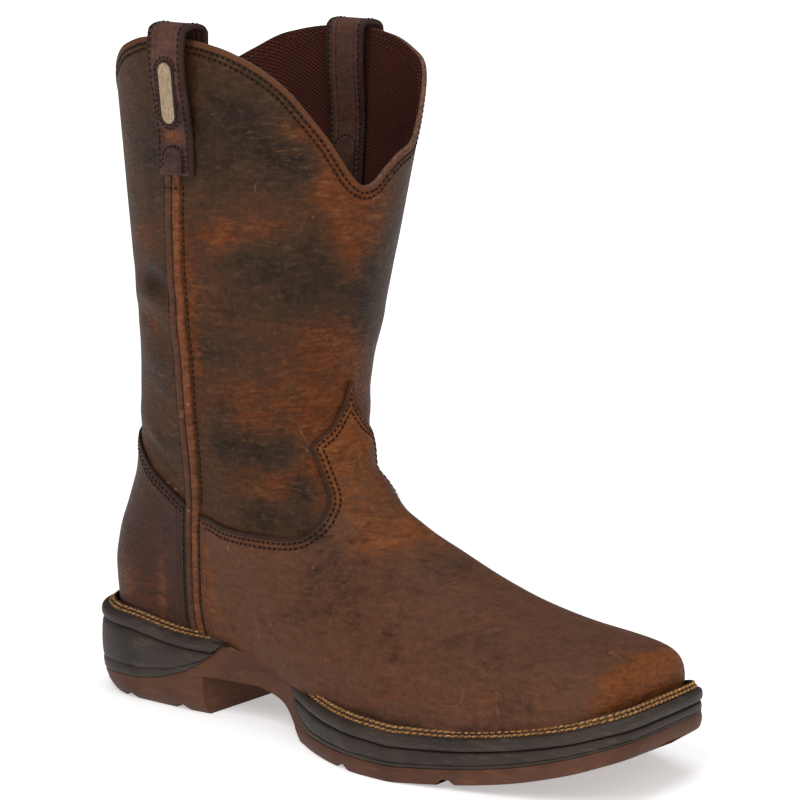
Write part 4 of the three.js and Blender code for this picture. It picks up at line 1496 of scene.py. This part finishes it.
def make_panel_stitches():
    """Two rows inside the vamp's top edge and two inside the counter's."""
    toe = Vector((along(0.85), 0.0, up(0.1)))
    heel = Vector((along(0.06), 0.0, up(0.1)))
    rows = []
    for distance in (FIRST_ROW, SECOND_ROW):
        rows.append(turned_inward(VAMP_EDGE, toe, distance, OVER))
        rows.append(turned_inward(COUNTER_EDGE, heel, distance, OVER))
    sew("panel_stitches", rows, dark_thread)


# The pull straps' sizes, which the side seams end under
STRAP_WIDTH = 21.2
STRAP_THICKNESS = 2.4
STRAP_ALONG = {OUTER: along(0.3007), INNER: along(0.3055)}
STRAP_SLANT = {OUTER: 4.5, INNER: 0.0}
STRAP_FOOT = up(0.808)
STRAP_FOOT_INSIDE = up(0.73)
STRAP_STAND = 7.5
STRAP_RISE = 5.6
STRAP_LEAN = 1.0
STRAP_ROW = 0.78


def make_seams():
    """The side seams: two piped beads on each side, with a row of stitches along both outer sides."""
    half = BEAD_WIDTH / 2
    section = [
        (-half, -0.3), (-half, 0.5 * BEAD_HEIGHT), (-0.8 * half, 0.78 * BEAD_HEIGHT),
        (-0.42 * half, 0.95 * BEAD_HEIGHT), (0.0, BEAD_HEIGHT), (0.42 * half, 0.95 * BEAD_HEIGHT),
        (0.8 * half, 0.78 * BEAD_HEIGHT), (half, 0.5 * BEAD_HEIGHT), (half, -0.3),
    ]
    offset = (BEAD_WIDTH + BEAD_GAP) / 2
    low = rim_at(SEAM(SEAM_LOW)) + 2 * CLEARANCE
    rows = []
    for side, end in SIDES:
        for sign, name in ((1, "front"), (-1, "rear")):
            line = seam_line(side, sign * offset, STRAP_FOOT + 1.0, low)
            path = [on_skin(point, CLEARANCE + 0.1) for point in line]
            node = "bead_" + name + "_" + end
            bead = sweep(path, section, node + "_piping", [bead_leather])
            paint(bead, [NO_EDGE] * len(bead.data.vertices), glow=0.9 if sign > 0 else 0.1)
            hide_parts(node)
            out = sign * (BEAD_WIDTH + BEAD_GAP / 2 + 1.7)
            row = seam_line(side, out, STRAP_FOOT - 4.0, low)
            split = VAMP_TOP if sign > 0 else COUNTER_TOP
            rows.append([on_skin(point, OVER) for point in row if point.z < split])
            rows.append([on_skin(point, ON_LEATHER) for point in row if point.z > split + 2.0])
        height = STRAP_FOOT - BAR_TACK_DROP
        tack = [at_side(SEAM(height) + SEAM_HALF * k / 4, height, side) for k in range(-4, 5)]
        rows.append([on_skin(point, CLEARANCE + BEAD_HEIGHT) for point in tack])
    sew("seam_stitches", rows, dark_thread, length=2.3, pitch=3.0)


def collar_line(depth, lift):
    """A line round the leg at a depth below the collar's edge."""
    ring = SKIN[TOP_ROW]
    lowered = []
    for column in range(ROUND + 1):
        edge = ring[column % ROUND]
        run = ring[(column + 1) % ROUND] - ring[(column - 1) % ROUND]
        down = run.cross(on_skin(edge)[1]).normalized()
        if down.z > 0:
            down = -down
        lowered.append(on_skin(edge + down * depth, lift))
    return lowered


def make_collar_stitches():
    """Two rows round the collar on the leather, and two finer ones on the lining."""
    rows = [collar_line(depth, ON_LEATHER) for depth in (FIRST_ROW, SECOND_ROW)]
    sew("collar_stitches", rows, dark_thread)
    inner_rows = []
    for depth in LINING_ROWS:
        line = collar_line(depth, -UPPER_WALL - ON_LEATHER)
        inner_rows.append([(spot, -normal) for spot, normal in line])
    sew("collar_stitches_inside", inner_rows, lining_thread, length=1.5, width=0.7, pitch=2.9)


# The pull straps
def strap_line():
    """The strap's path: out from the leg's outer face, and height."""
    outside = CLEARANCE + STRAP_THICKNESS / 2 + 0.1
    inside_face = -UPPER_WALL - outside
    peak = COLLAR["outer"](0.5) + STRAP_RISE
    tall = peak - STRAP_FOOT
    middle = (outside + inside_face) / 2
    rows = (
        (outside, STRAP_FOOT),
        (outside, STRAP_FOOT + 0.2 * tall),
        (outside + 0.25 * STRAP_STAND, STRAP_FOOT + 0.42 * tall),
        (outside + 0.6 * STRAP_STAND, STRAP_FOOT + 0.62 * tall),
        (outside + 0.75 * STRAP_STAND, STRAP_FOOT + 0.8 * tall),
        (outside + 0.62 * STRAP_STAND, peak - 0.45 * STRAP_RISE),
        (outside + 0.25 * STRAP_STAND, peak - 0.12 * STRAP_RISE),
        (middle, peak),
        (inside_face - 0.25 * STRAP_STAND, peak - 0.12 * STRAP_RISE),
        (inside_face - 0.55 * STRAP_STAND, peak - 0.55 * STRAP_RISE),
        (inside_face - 0.5 * STRAP_STAND, STRAP_FOOT + 0.72 * tall),
        (inside_face - 0.2 * STRAP_STAND, STRAP_FOOT + 0.45 * tall),
        (inside_face, STRAP_FOOT + 0.25 * tall),
        (inside_face, STRAP_FOOT_INSIDE),
    )
    points = smooth_line([Vector((out, 0.0, height)) for out, height in rows], 1.0)
    return [(point.x, point.z) for point in points]


STRAP_LINE = strap_line()


def strap_height(z):
    """How far up the strap a height lies: 0 at its outer foot and 1 at the collar's top."""
    return (z - STRAP_FOOT) / (COLLAR["outer"](0.5) - STRAP_FOOT)


def strap_spot(i, share, depth, side):
    """A place on the strap: i along it, share from -1 to 1 across it, depth out of its middle."""
    before = STRAP_LINE[max(i - 1, 0)]
    after = STRAP_LINE[min(i + 1, len(STRAP_LINE) - 1)]
    length = math.hypot(after[0] - before[0], after[1] - before[1])
    out = STRAP_LINE[i][0] + (after[1] - before[1]) / length * depth
    high = max(strap_height(STRAP_LINE[i][1]), 0.0)
    z = STRAP_LINE[i][1] - (after[0] - before[0]) / length * depth - high * share * STRAP_LEAN / 2
    x = STRAP_ALONG[side] + high * STRAP_SLANT[side] + share * STRAP_WIDTH / 2
    return Vector((x, side * (half_width(x, z, side) + out), z))


def strap_face(side, share, z, lift, inside=False):
    """A place on the strap's open face at a height, on its outer leg or on the one in the boot."""
    steps = [k for k, (out, height) in enumerate(STRAP_LINE) if height >= z]
    i = steps[-1] if inside else steps[0]
    depth = STRAP_THICKNESS / 2 + lift
    spot = strap_spot(i, share, depth, side)
    spot.z = z - (STRAP_LINE[i][1] - spot.z)
    return spot, (spot - strap_spot(i, share, depth - 1.0, side)).normalized()


def make_straps():
    """Both pull straps, over the collar and down inside, with a row of stitches along each edge."""
    half = STRAP_THICKNESS / 2
    shares = (-0.94, -0.7, -0.35, 0.0, 0.35, 0.7, 0.94)
    section = [(share, half) for share in shares]
    section += [(1.0, 0.5 * half), (1.0, -0.5 * half)]
    section += [(share, -half) for share in shares[::-1]]
    section += [(-1.0, -0.5 * half), (-1.0, 0.5 * half)]
    rows = []
    for side, end in SIDES:
        def place(column, row):
            share, depth = section[column % len(section)]
            return strap_spot(row, share, depth, side)

        bm = grid_mesh(len(section), len(STRAP_LINE) - 1, place)
        close_ends(bm)
        piece = new_mesh(bm, "pull_strap_" + end + "_leather", [strap_leather], sharp=70)
        edges = []
        for vert in piece.data.vertices:
            high = share_of(strap_height(vert.co.z / MM))
            off = abs(vert.co.x / MM - STRAP_ALONG[side] - high * STRAP_SLANT[side])
            edges.append(max(STRAP_WIDTH / 2 - off, 0.0))
        paint(piece, edges)
        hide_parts("pull_strap_" + end)
        for share in (-STRAP_ROW, STRAP_ROW):
            row = []
            for i in range(2, len(STRAP_LINE) - 2):
                spot = strap_spot(i, share, half + ON_LEATHER, side)
                row.append((spot, (spot - strap_spot(i, share, half, side)).normalized()))
            rows.append(row)
    sew("strap_stitches", rows, dark_thread)


TAB_WIDTH = 11.0
TAB_HEIGHT = 12.0
TAB_HEIGHT_INSIDE = 35.0
TAB_THICKNESS = 0.9
TAB_COLUMNS = 16
TAB_ROWS = 14
TAB_MARGIN = 1.2
ARCH_STEPS = 24
TRIM_STITCH = {"length": 1.7, "pitch": 2.3}


def make_tab(side, name, inside):
    """An arch-topped tab at a strap's foot, and the line of the stitches round it."""
    foot = STRAP_FOOT_INSIDE if inside else STRAP_FOOT
    tall = TAB_HEIGHT_INSIDE if inside else TAB_HEIGHT

    def place(column, row):
        share = 2 * column / TAB_COLUMNS - 1
        top = tall - 0.5 * TAB_WIDTH * (1 - math.sqrt(max(1 - share * share, 0.0)))
        z = foot + 0.4 + top * row / TAB_ROWS
        return strap_face(side, share * TAB_WIDTH / STRAP_WIDTH, z, TAB_THICKNESS, inside)[0]

    bm = grid_mesh(TAB_COLUMNS, TAB_ROWS, place, closed=False)
    bmesh.ops.remove_doubles(bm, verts=bm.verts, dist=WELD)
    face_out(bm)
    piece = new_mesh(bm, name, [strap_leather])
    facing = -side if inside else side
    if piece.data.polygons[0].normal.y * facing < 0:
        piece.data.flip_normals()
    paint(piece, [NO_EDGE] * len(piece.data.vertices), shade=0.4)
    add_modifier(piece, "SOLIDIFY", thickness=(TAB_THICKNESS - 0.1) * MM, offset=-1.0)
    soften(piece, 0.3)
    shoulder = foot + tall - 0.5 * TAB_WIDTH
    reach = (TAB_WIDTH + 2 * TAB_MARGIN) / STRAP_WIDTH
    straight = int(tall - 0.5 * TAB_WIDTH)
    arch = [(reach, shoulder - straight + k) for k in range(straight)]
    for k in range(ARCH_STEPS + 1):
        turn = math.pi * k / ARCH_STEPS
        arch.append((math.cos(turn) * reach, shoulder + 0.6 * TAB_WIDTH * math.sin(turn)))
    arch += [(-reach, shoulder - k) for k in range(1, straight)]
    return [strap_face(side, share, z, ON_LEATHER, inside) for share, z in arch]


def make_tabs():
    rows = []
    for side, end in SIDES:
        rows.append(make_tab(side, "strap_tab_" + end, False))
        rows.append(make_tab(side, "strap_tab_" + end + "_inside", True))
    sew("tab_stitches", rows, dark_thread, **TRIM_STITCH)


BADGE_WIDTH = 7.4
BADGE_HEIGHT = 26.0
BADGE_LEAN = 0.06
BADGE_THICKNESS = 0.5
BADGE_MIDDLE = 289.0
BADGE_SPOKES = 48
BADGE_RINGS = 6
BADGE_ROW = 2.6


def oval(turn, grow):
    """The outline of the badge: straight sides and round ends."""
    half = BADGE_WIDTH / 2 + grow
    straight = BADGE_HEIGHT / 2 - BADGE_WIDTH / 2
    lift = straight if math.sin(turn) >= 0 else -straight
    dz = lift + half * math.sin(turn)
    return half * math.cos(turn) + BADGE_LEAN * dz, dz


def make_badge():
    """The plain oval patch in its window, with a dark rim and a row of stitches round it."""
    def on_strap(turn, grow, height):
        dx, dz = oval(turn, grow)
        return strap_face(OUTER, dx / (STRAP_WIDTH / 2), BADGE_MIDDLE + dz, height)

    def ring_piece(name, profile, materials):
        def place(column, row):
            return on_strap(2 * math.pi * (column % BADGE_SPOKES) / BADGE_SPOKES, *profile[row])[0]

        bm = grid_mesh(BADGE_SPOKES, len(profile) - 1, place)
        bmesh.ops.remove_doubles(bm, verts=bm.verts, dist=WELD)
        return new_mesh(bm, name, materials)

    flat = []
    for ring in range(BADGE_RINGS + 1):
        flat.append((-BADGE_WIDTH / 2 * (1 - ring / BADGE_RINGS), BADGE_THICKNESS))
    flat += [(0.25, 0.8 * BADGE_THICKNESS), (0.35, -0.05)]
    patch = ring_piece("badge_patch", flat, [badge_tan])
    if patch.data.polygons[0].normal.y > 0:
        patch.data.flip_normals()
    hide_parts("badge")
    rim = [(0.2, -0.05), (0.25, 0.6), (0.5, 0.85), (1.0, 0.85), (1.4, 0.5), (1.5, -0.05), (0.2, -0.05)]
    window = ring_piece("badge_rim", rim, [strap_leather])
    paint(window, [1.0] * len(window.data.vertices), shade=0.4)
    steps = 2 * BADGE_SPOKES
    line = [on_strap(2 * math.pi * k / steps, BADGE_ROW, ON_LEATHER) for k in range(steps + 1)]
    sew("badge_stitches", [line], dark_thread, **TRIM_STITCH)


# The sole
BREAST = along(0.2627)
SOLE_COLUMNS = 150
SOLE_STEPS = 400
SOLE_HEEL_DEPTH = 0.121 * SOLE_LENGTH
WAIST_TOE = along(0.452)
ARCH_TOP = 0.457 * HEEL_RIM

# The arch, and the lower edges of the forefoot band and the heel cup: place along the sole and
# height, as shares of the arch's top, of the forefoot sole and of the heel's rim
ARCH_ROWS = (
    (0.366, 1.00),
    (0.390, 0.88),
    (0.420, 0.69),
    (0.442, 0.42),
    (0.461, 0.07),
    (0.466, -0.10),
)
BAND_ROWS = (
    (0.506, 0.32),
    (0.480, 0.38),
    (0.462, 0.48),
    (0.448, 0.70),
    (0.442, 1.04),
)
CUP_ROWS = (
    (0.000, 0.20),
    (0.045, 0.26),
    (0.092, 0.287),
    (0.130, 0.293),
    (0.177, 0.352),
    (0.223, 0.458),
    (0.258, 0.590),
    (0.286, 0.745),
    (0.305, 0.890),
)
BAND = curve([along(x) for x, z in BAND_ROWS[::-1]], [z * FORE_SOLE for x, z in BAND_ROWS[::-1]])
CUP = curve([along(x) for x, z in CUP_ROWS], [z * HEEL_RIM for x, z in CUP_ROWS])
CUP_TIP = along(CUP_ROWS[-1][0])
BAND_TIP = along(BAND_ROWS[-1][0])
BAND_FROM = along(BAND_ROWS[0][0])


def dark_edge(x):
    """The height of the dark rubber's lower edge, which rises to the rim at the waist."""
    if x <= CUP_TIP:
        return min(CUP(x), rim_at(x))
    if x < BAND_TIP:
        return rim_at(x)
    if x < BAND_FROM:
        return min(BAND(x), rim_at(x))
    return gum_at(x)


def sole_outline():
    """The sole's rim from above: places and outward directions, from the toe round the outer side."""
    halves = []
    for side, name in SIDES:
        points = []
        for i in range(SOLE_STEPS + 1):
            share = (1 + math.cos(math.pi * i / SOLE_STEPS)) / 2
            x = SOLE_BACK + (SOLE_TOE - SOLE_BACK) * share
            close = rounded((x - SOLE_BACK) / SOLE_HEEL_DEPTH, BACK_ROUND)
            close *= rounded((SOLE_TOE - x) / TOE_DEPTH, TOE_SQUARE)
            y = 0.0 if i in (0, SOLE_STEPS) else side * SOLE[name](x) * close
            points.append(Vector((x, y, 0.0)))
        halves.append(spread(points, SOLE_COLUMNS))
    ring = both_halves(*halves)
    out = []
    for i, point in enumerate(ring):
        run = ring[(i + 1) % len(ring)] - ring[i - 1]
        out.append((point, Vector((-run.y, run.x, 0.0)).normalized()))
    return out


SOLE_RIM = sole_outline()
SOLE_ROUND = len(SOLE_RIM)


def inset_at(x, heel, fore):
    """How far inside the rim a place lies, between its measures at the heel and at the forefoot."""
    return heel + (fore - heel) * eased((x - BREAST) / (WAIST_TOE - BREAST))


def sole_spot(column, inset, height):
    """A place near the sole's rim, an inset inside it and at a height that is read along the boot."""
    point, outwards = SOLE_RIM[column % SOLE_ROUND]
    spot = point - outwards * inset
    return Vector((spot.x, spot.y, height(point.x)))


def toward_middle(column, spot, share):
    """A place drawn in from the rim to the sole's middle line, where both sides meet."""
    other = SOLE_RIM[-column % SOLE_ROUND][0]
    middle = (SOLE_RIM[column % SOLE_ROUND][0].x + other.x) / 2
    x = middle + (spot.x - middle) * share
    return Vector((x, spot.y * share, spot.z))


def prism(outline, half=160.0):
    """A bar right through the boot with one outline in the side view."""
    bm = bmesh.new()
    face = bm.faces.new([bm.verts.new((x, -half, z)) for x, z in outline])
    grown = bmesh.ops.extrude_face_region(bm, geom=[face])
    moved = [item for item in grown["geom"] if isinstance(item, bmesh.types.BMVert)]
    bmesh.ops.translate(bm, vec=(0.0, 2 * half, 0.0), verts=moved)
    face_out(bm)
    return bm


# The tread's cross grooves: place, half widths at the floor and at the top, and depth
GROOVES = (
    (0.105, 5.0, 1.6, 2.8),
    (0.212, 5.0, 1.6, 2.8),
    (0.585, 4.5, 1.4, 2.6),
    (0.757, 4.5, 1.4, 2.6),
)


def cut_away(piece, bm, name):
    """Cuts a closed shape out of a piece and keeps the result in the piece's own mesh."""
    cutter_data = bpy.data.meshes.new(name)
    bmesh.ops.scale(bm, vec=(MM, MM, MM), verts=bm.verts)
    bm.to_mesh(cutter_data)
    bm.free()
    cutter = bpy.data.objects.new(name, cutter_data)
    bpy.context.scene.collection.objects.link(cutter)
    add_modifier(piece, "BOOLEAN", operation="DIFFERENCE", object=cutter, solver="EXACT")
    bpy.context.view_layer.update()
    graph = bpy.context.evaluated_depsgraph_get()
    finished = bpy.data.meshes.new_from_object(piece.evaluated_get(graph))
    piece.modifiers.clear()
    old = piece.data
    piece.data = finished
    bpy.data.meshes.remove(old)
    bpy.data.objects.remove(cutter)
    bpy.data.meshes.remove(cutter_data)


def over_gum(share):
    """The height of a level of the gum sole's own wall, from the floor to its top."""
    return lambda x: floor_at(x) + share * GUM_SOLE


def over_waist(share):
    """The height of a level between the gum sole's top and the dark rubber's lower edge."""
    return lambda x: gum_at(x) + (dark_edge(x) - gum_at(x)) * share


def under_boot(x):
    return max(dark_edge(x), rim_at(x) - 1.0) - 0.01


# The levels of the outsole from the floor up: insets at the heel and forefoot, and height
SOLE_LEVELS = (
    (5.9, 1.3, floor_at),
    (5.0, 0.7, over_gum(0.1)),
    (4.2, 0.4, over_gum(0.22)),
    (2.6, -0.1, over_gum(0.55)),
    (1.6, -0.1, over_gum(0.8)),
    (1.2, 0.3, over_waist(0.0)),
    (0.5, 0.5, over_waist(0.5)),
    (0.2, 0.5, over_waist(0.94)),
    (0.5, 0.8, dark_edge),
    (6.4, 5.2, dark_edge),
    (6.4, 5.2, under_boot),
)
SOLE_DRAWS = (0.0, 0.3, 0.6, 0.85)
OUTSOLE_ROWS = (
    [(share, SOLE_LEVELS[0]) for share in SOLE_DRAWS]
    + [(1.0, level) for level in SOLE_LEVELS]
    + [(share, SOLE_LEVELS[-1]) for share in SOLE_DRAWS[::-1]]
)
CUT_DEPTH = 5.0


def make_outsole():
    """The gum sole: its floor, wall and top in one, with the arch and the grooves cut out."""
    def place(column, row):
        share, (heel, fore, height) = OUTSOLE_ROWS[row]
        spot = sole_spot(column, inset_at(SOLE_RIM[column % SOLE_ROUND][0].x, heel, fore), height)
        return toward_middle(column, spot, share) if share < 1 else spot

    bm = grid_mesh(SOLE_ROUND, len(OUTSOLE_ROWS) - 1, place)
    face_out(bm)
    piece = new_mesh(bm, "outsole_gum", [gum_rubber])
    arch_line = smooth_line([Vector((along(x), 0.0, z * ARCH_TOP)) for x, z in ARCH_ROWS], 1.5)
    arch = [(BREAST, -CUT_DEPTH), (BREAST, ARCH_TOP)]
    arch += [(point.x, point.z) for point in arch_line]
    arch.append((along(ARCH_ROWS[-1][0]), -CUT_DEPTH))
    cut_away(piece, prism(arch), "arch_cut")
    for share, foot, top, depth in GROOVES:
        x = along(share)
        base = floor_at(x)
        groove = [
            (x - foot, base - CUT_DEPTH), (x + foot, base - CUT_DEPTH), (x + foot, base - 0.2),
            (x + top, base + depth), (x - top, base + depth), (x - foot, base - 0.2),
        ]
        cut_away(piece, prism(groove), "groove_cut")
    piece.data.set_sharp_from_angle(angle=math.radians(32))
    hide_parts("outsole")


def rim_run(keep):
    """The columns of the sole's rim that a test keeps, in order and with one more at each end."""
    kept = [keep(SOLE_RIM[column][0].x) for column in range(SOLE_ROUND)]
    start = next(c for c in range(SOLE_ROUND) if kept[c] and not kept[c - 1])
    run = []
    column = start
    while kept[column % SOLE_ROUND]:
        run.append(column % SOLE_ROUND)
        column += 1
    return [(start - 1) % SOLE_ROUND] + run + [column % SOLE_ROUND]


def wall_height(x, part, share):
    """A height in the dark wall, part 0 below the groove and part 1 in the rib above it."""
    low, rim = dark_edge(x), rim_at(x)
    middle = max(seat_at(x), low)
    return low + (middle - low) * share if part == 0 else middle + (rim - middle) * share


WELT_UNDER_LEATHER = 1.9
LEAST_WELT = 2.4


def welt_depth(x):
    """How far inside the rim the welt's inner face lies, a little under the leather."""
    return max(WELT_WIDTH * SOLE["ledge"](x) - WELT_UNDER_LEATHER, LEAST_WELT)


# Each section runs round a bar of rubber: part, share of its height, insets at the heel and
# forefoot, and lift. FACE stands for the inset of the welt's inner face.
FACE = None
WELT_RISE = 3.0
WALL_SECTION = (
    (0, 0.00, 6.0, 5.0, 0.0),
    (0, 0.00, 0.4, 0.9, 0.0),
    (0, 0.04, -0.3, 0.4, 0.0),
    (0, 0.12, -0.6, 0.2, 0.0),
    (0, 0.20, -0.7, 0.2, 0.0),
    (0, 0.235, -0.2, 0.7, 0.0),
    (0, 0.27, -0.7, 0.3, 0.0),
    (0, 0.40, -1.1, 0.1, 0.0),
    (0, 0.60, -1.2, 0.1, 0.0),
    (0, 0.78, -1.0, 0.2, 0.0),
    (0, 0.90, -0.7, 0.4, 0.0),
    (0, 0.95, -0.1, 1.0, 0.0),
    (0, 1.00, 0.9, 1.9, 0.0),
    (0, 1.00, 6.0, 5.0, 0.0),
)
RIB_SECTION = (
    (1, 0.01, FACE, FACE, 0.0),
    (1, 0.01, 0.9, 1.9, 0.0),
    (1, 0.05, 0.0, 1.0, 0.0),
    (1, 0.14, -0.6, 0.2, 0.0),
    (1, 0.30, -1.0, -0.2, 0.0),
    (1, 0.55, -1.1, -0.3, 0.0),
    (1, 0.78, -0.9, -0.1, 0.0),
    (1, 0.91, -0.4, 0.3, 0.0),
    (1, 0.98, 0.3, 0.9, 0.0),
    (1, 1.00, 1.0, 1.4, 0.0),
    (1, 1.00, 1.6, 1.8, -0.5),
    (1, 1.00, 2.1, 2.2, -0.3),
    (1, 1.00, FACE, FACE, WELT_RISE),
)


def make_rim_piece(name, node, run, section):
    """A bar of dark rubber along a run of the sole's rim."""
    def place(column, row):
        at = run[row]
        x = SOLE_RIM[at][0].x
        part, share, heel, fore, lift = section[column % len(section)]
        inset = welt_depth(x) if heel is FACE else inset_at(x, heel, fore)
        spot = sole_spot(at, inset, lambda x: wall_height(x, part, share))
        spot.z += lift * share_of((rim_at(x) - dark_edge(x)) / RIB_HEIGHT)
        return spot

    bm = grid_mesh(len(section), len(run) - 1, place)
    bmesh.ops.remove_doubles(bm, verts=bm.verts, dist=WELD)
    close_ends(bm)
    piece = new_mesh(bm, name, [dark_rubber], sharp=50)
    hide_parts(node)


def make_rims():
    """The dark cup and rib round the heel, and the band and rib round the forefoot."""
    heel_run = rim_run(lambda x: x < CUP_TIP)
    fore_run = rim_run(lambda x: x > BAND_TIP)
    make_rim_piece("heel_cup", "midsole_heel", heel_run, WALL_SECTION)
    make_rim_piece("heel_rib", "welt_heel", heel_run, RIB_SECTION)
    make_rim_piece("forefoot_band", "midsole_forefoot", fore_run, WALL_SECTION)
    make_rim_piece("forefoot_rib", "welt_forefoot", fore_run, RIB_SECTION)


WELT_STITCH_LENGTH = 3.2
WELT_STITCH_WIDTH = 1.35
WELT_STITCH_HEIGHT = 1.1
WELT_STITCH_PITCH = 3.1
WELT_STITCH_LIFT = 0.25
WELT_STITCH_SLANT = 0.2
WELT_STITCHES_FROM = 2.2
WELT_STITCH_SINK = 0.3
HEEL_STITCHES_END = along(0.270)
FORE_STITCHES_START = along(0.452)
WELT_ROWS = (0.30, 0.74)


def make_welt_stitches():
    """Two rows of thick stitches on the slope between the rib and the leather."""
    places = []
    for keep in (lambda x: x < HEEL_STITCHES_END, lambda x: x > FORE_STITCHES_START):
        run = rim_run(keep)
        for k, share in enumerate(WELT_ROWS):
            line = []
            for column in run[k:]:
                point, outwards = SOLE_RIM[column]
                low = WELT_STITCHES_FROM
                spot = point - outwards * (low + (welt_depth(point.x) - low) * share)
                rise = (WELT_RISE + WELT_STITCH_SINK) * share - WELT_STITCH_SINK
                tilt = Vector((outwards.x, outwards.y, 1.0)).normalized()
                line.append((Vector((spot.x, spot.y, rim_at(point.x) + rise)), tilt))
            places += stitch_places(
                line, WELT_STITCH_PITCH, WELT_STITCH_LIFT, start=k * WELT_STITCH_PITCH / 2,
                slant=WELT_STITCH_SLANT,
            )
    template = stitch_shape(WELT_STITCH_LENGTH, WELT_STITCH_WIDTH, WELT_STITCH_HEIGHT)
    piece = repeated(template, places, "welt_stitches", [gold_thread])


lining_thread = thread("lining_thread", tone(92, 56, 46), tone(58, 33, 29))
make_panel_stitches()
make_seams()
make_collar_stitches()
make_straps()
make_tabs()
make_badge()
make_outsole()
make_rims()
make_welt_stitches()
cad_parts["insole"].data.materials.clear()
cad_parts["insole"].data.materials.append(insole_tan)


# Floor and light, in metres
FLOOR_HALF = 45.0
WORLD_STRENGTH = 0.22


def make_stage():
    """A white floor that is lit from within away from the boot, as a bright studio sweep is."""
    bm = bmesh.new()
    bmesh.ops.create_grid(bm, x_segments=1, y_segments=1, size=FLOOR_HALF)
    data = bpy.data.meshes.new("floor")
    bm.to_mesh(data)
    bm.free()
    floor = bpy.data.objects.new("floor", data)
    bpy.context.scene.collection.objects.link(floor)
    finish = Finish("floor_paint")
    far = finish.node("ShaderNodeVectorMath", {"operation": "LENGTH"}, {0: finish.place()}, output=1)
    shine = 0.42 + 0.68 * far.between(0.3, 2.5)
    data.materials.append(finish.set(
        Base_Color=tone(250, 250, 250), Roughness=0.9, Emission_Color=shine, Emission_Strength=1.0,
        Specular_IOR_Level=0.1,
    ))


def soft_light(name, place, target, size, power):
    """A large lamp in metres, turned towards a target."""
    data = bpy.data.lights.new(name, "AREA")
    data.shape = "RECTANGLE"
    data.size, data.size_y = size
    data.energy = power
    lamp = bpy.data.objects.new(name, data)
    bpy.context.scene.collection.objects.link(lamp)
    aim = (Vector(target) - Vector(place)).to_track_quat("-Z", "Y")
    lamp.matrix_world = Matrix.Translation(place) @ aim.to_matrix().to_4x4()


def make_light():
    """Even white surroundings, with a key lamp on the outer side and weaker ones round it."""
    world = bpy.data.worlds.new("studio")
    world.use_nodes = True
    background = world.node_tree.nodes["Background"]
    background.inputs["Color"].default_value = (1.0, 1.0, 1.0, 1.0)
    background.inputs["Strength"].default_value = WORLD_STRENGTH
    bpy.context.scene.world = world
    bpy.context.scene.view_settings.view_transform = "Standard"
    middle = (0.08, 0.0, 0.15)
    soft_light("key", (0.35, -1.15, 1.3), middle, (1.0, 1.0), 14.0)
    soft_light("fill", (1.35, -0.55, 0.75), middle, (0.9, 1.1), 5.5)
    soft_light("top", (0.1, 0.3, 1.6), middle, (1.2, 1.2), 9.0)


make_stage()
make_light()
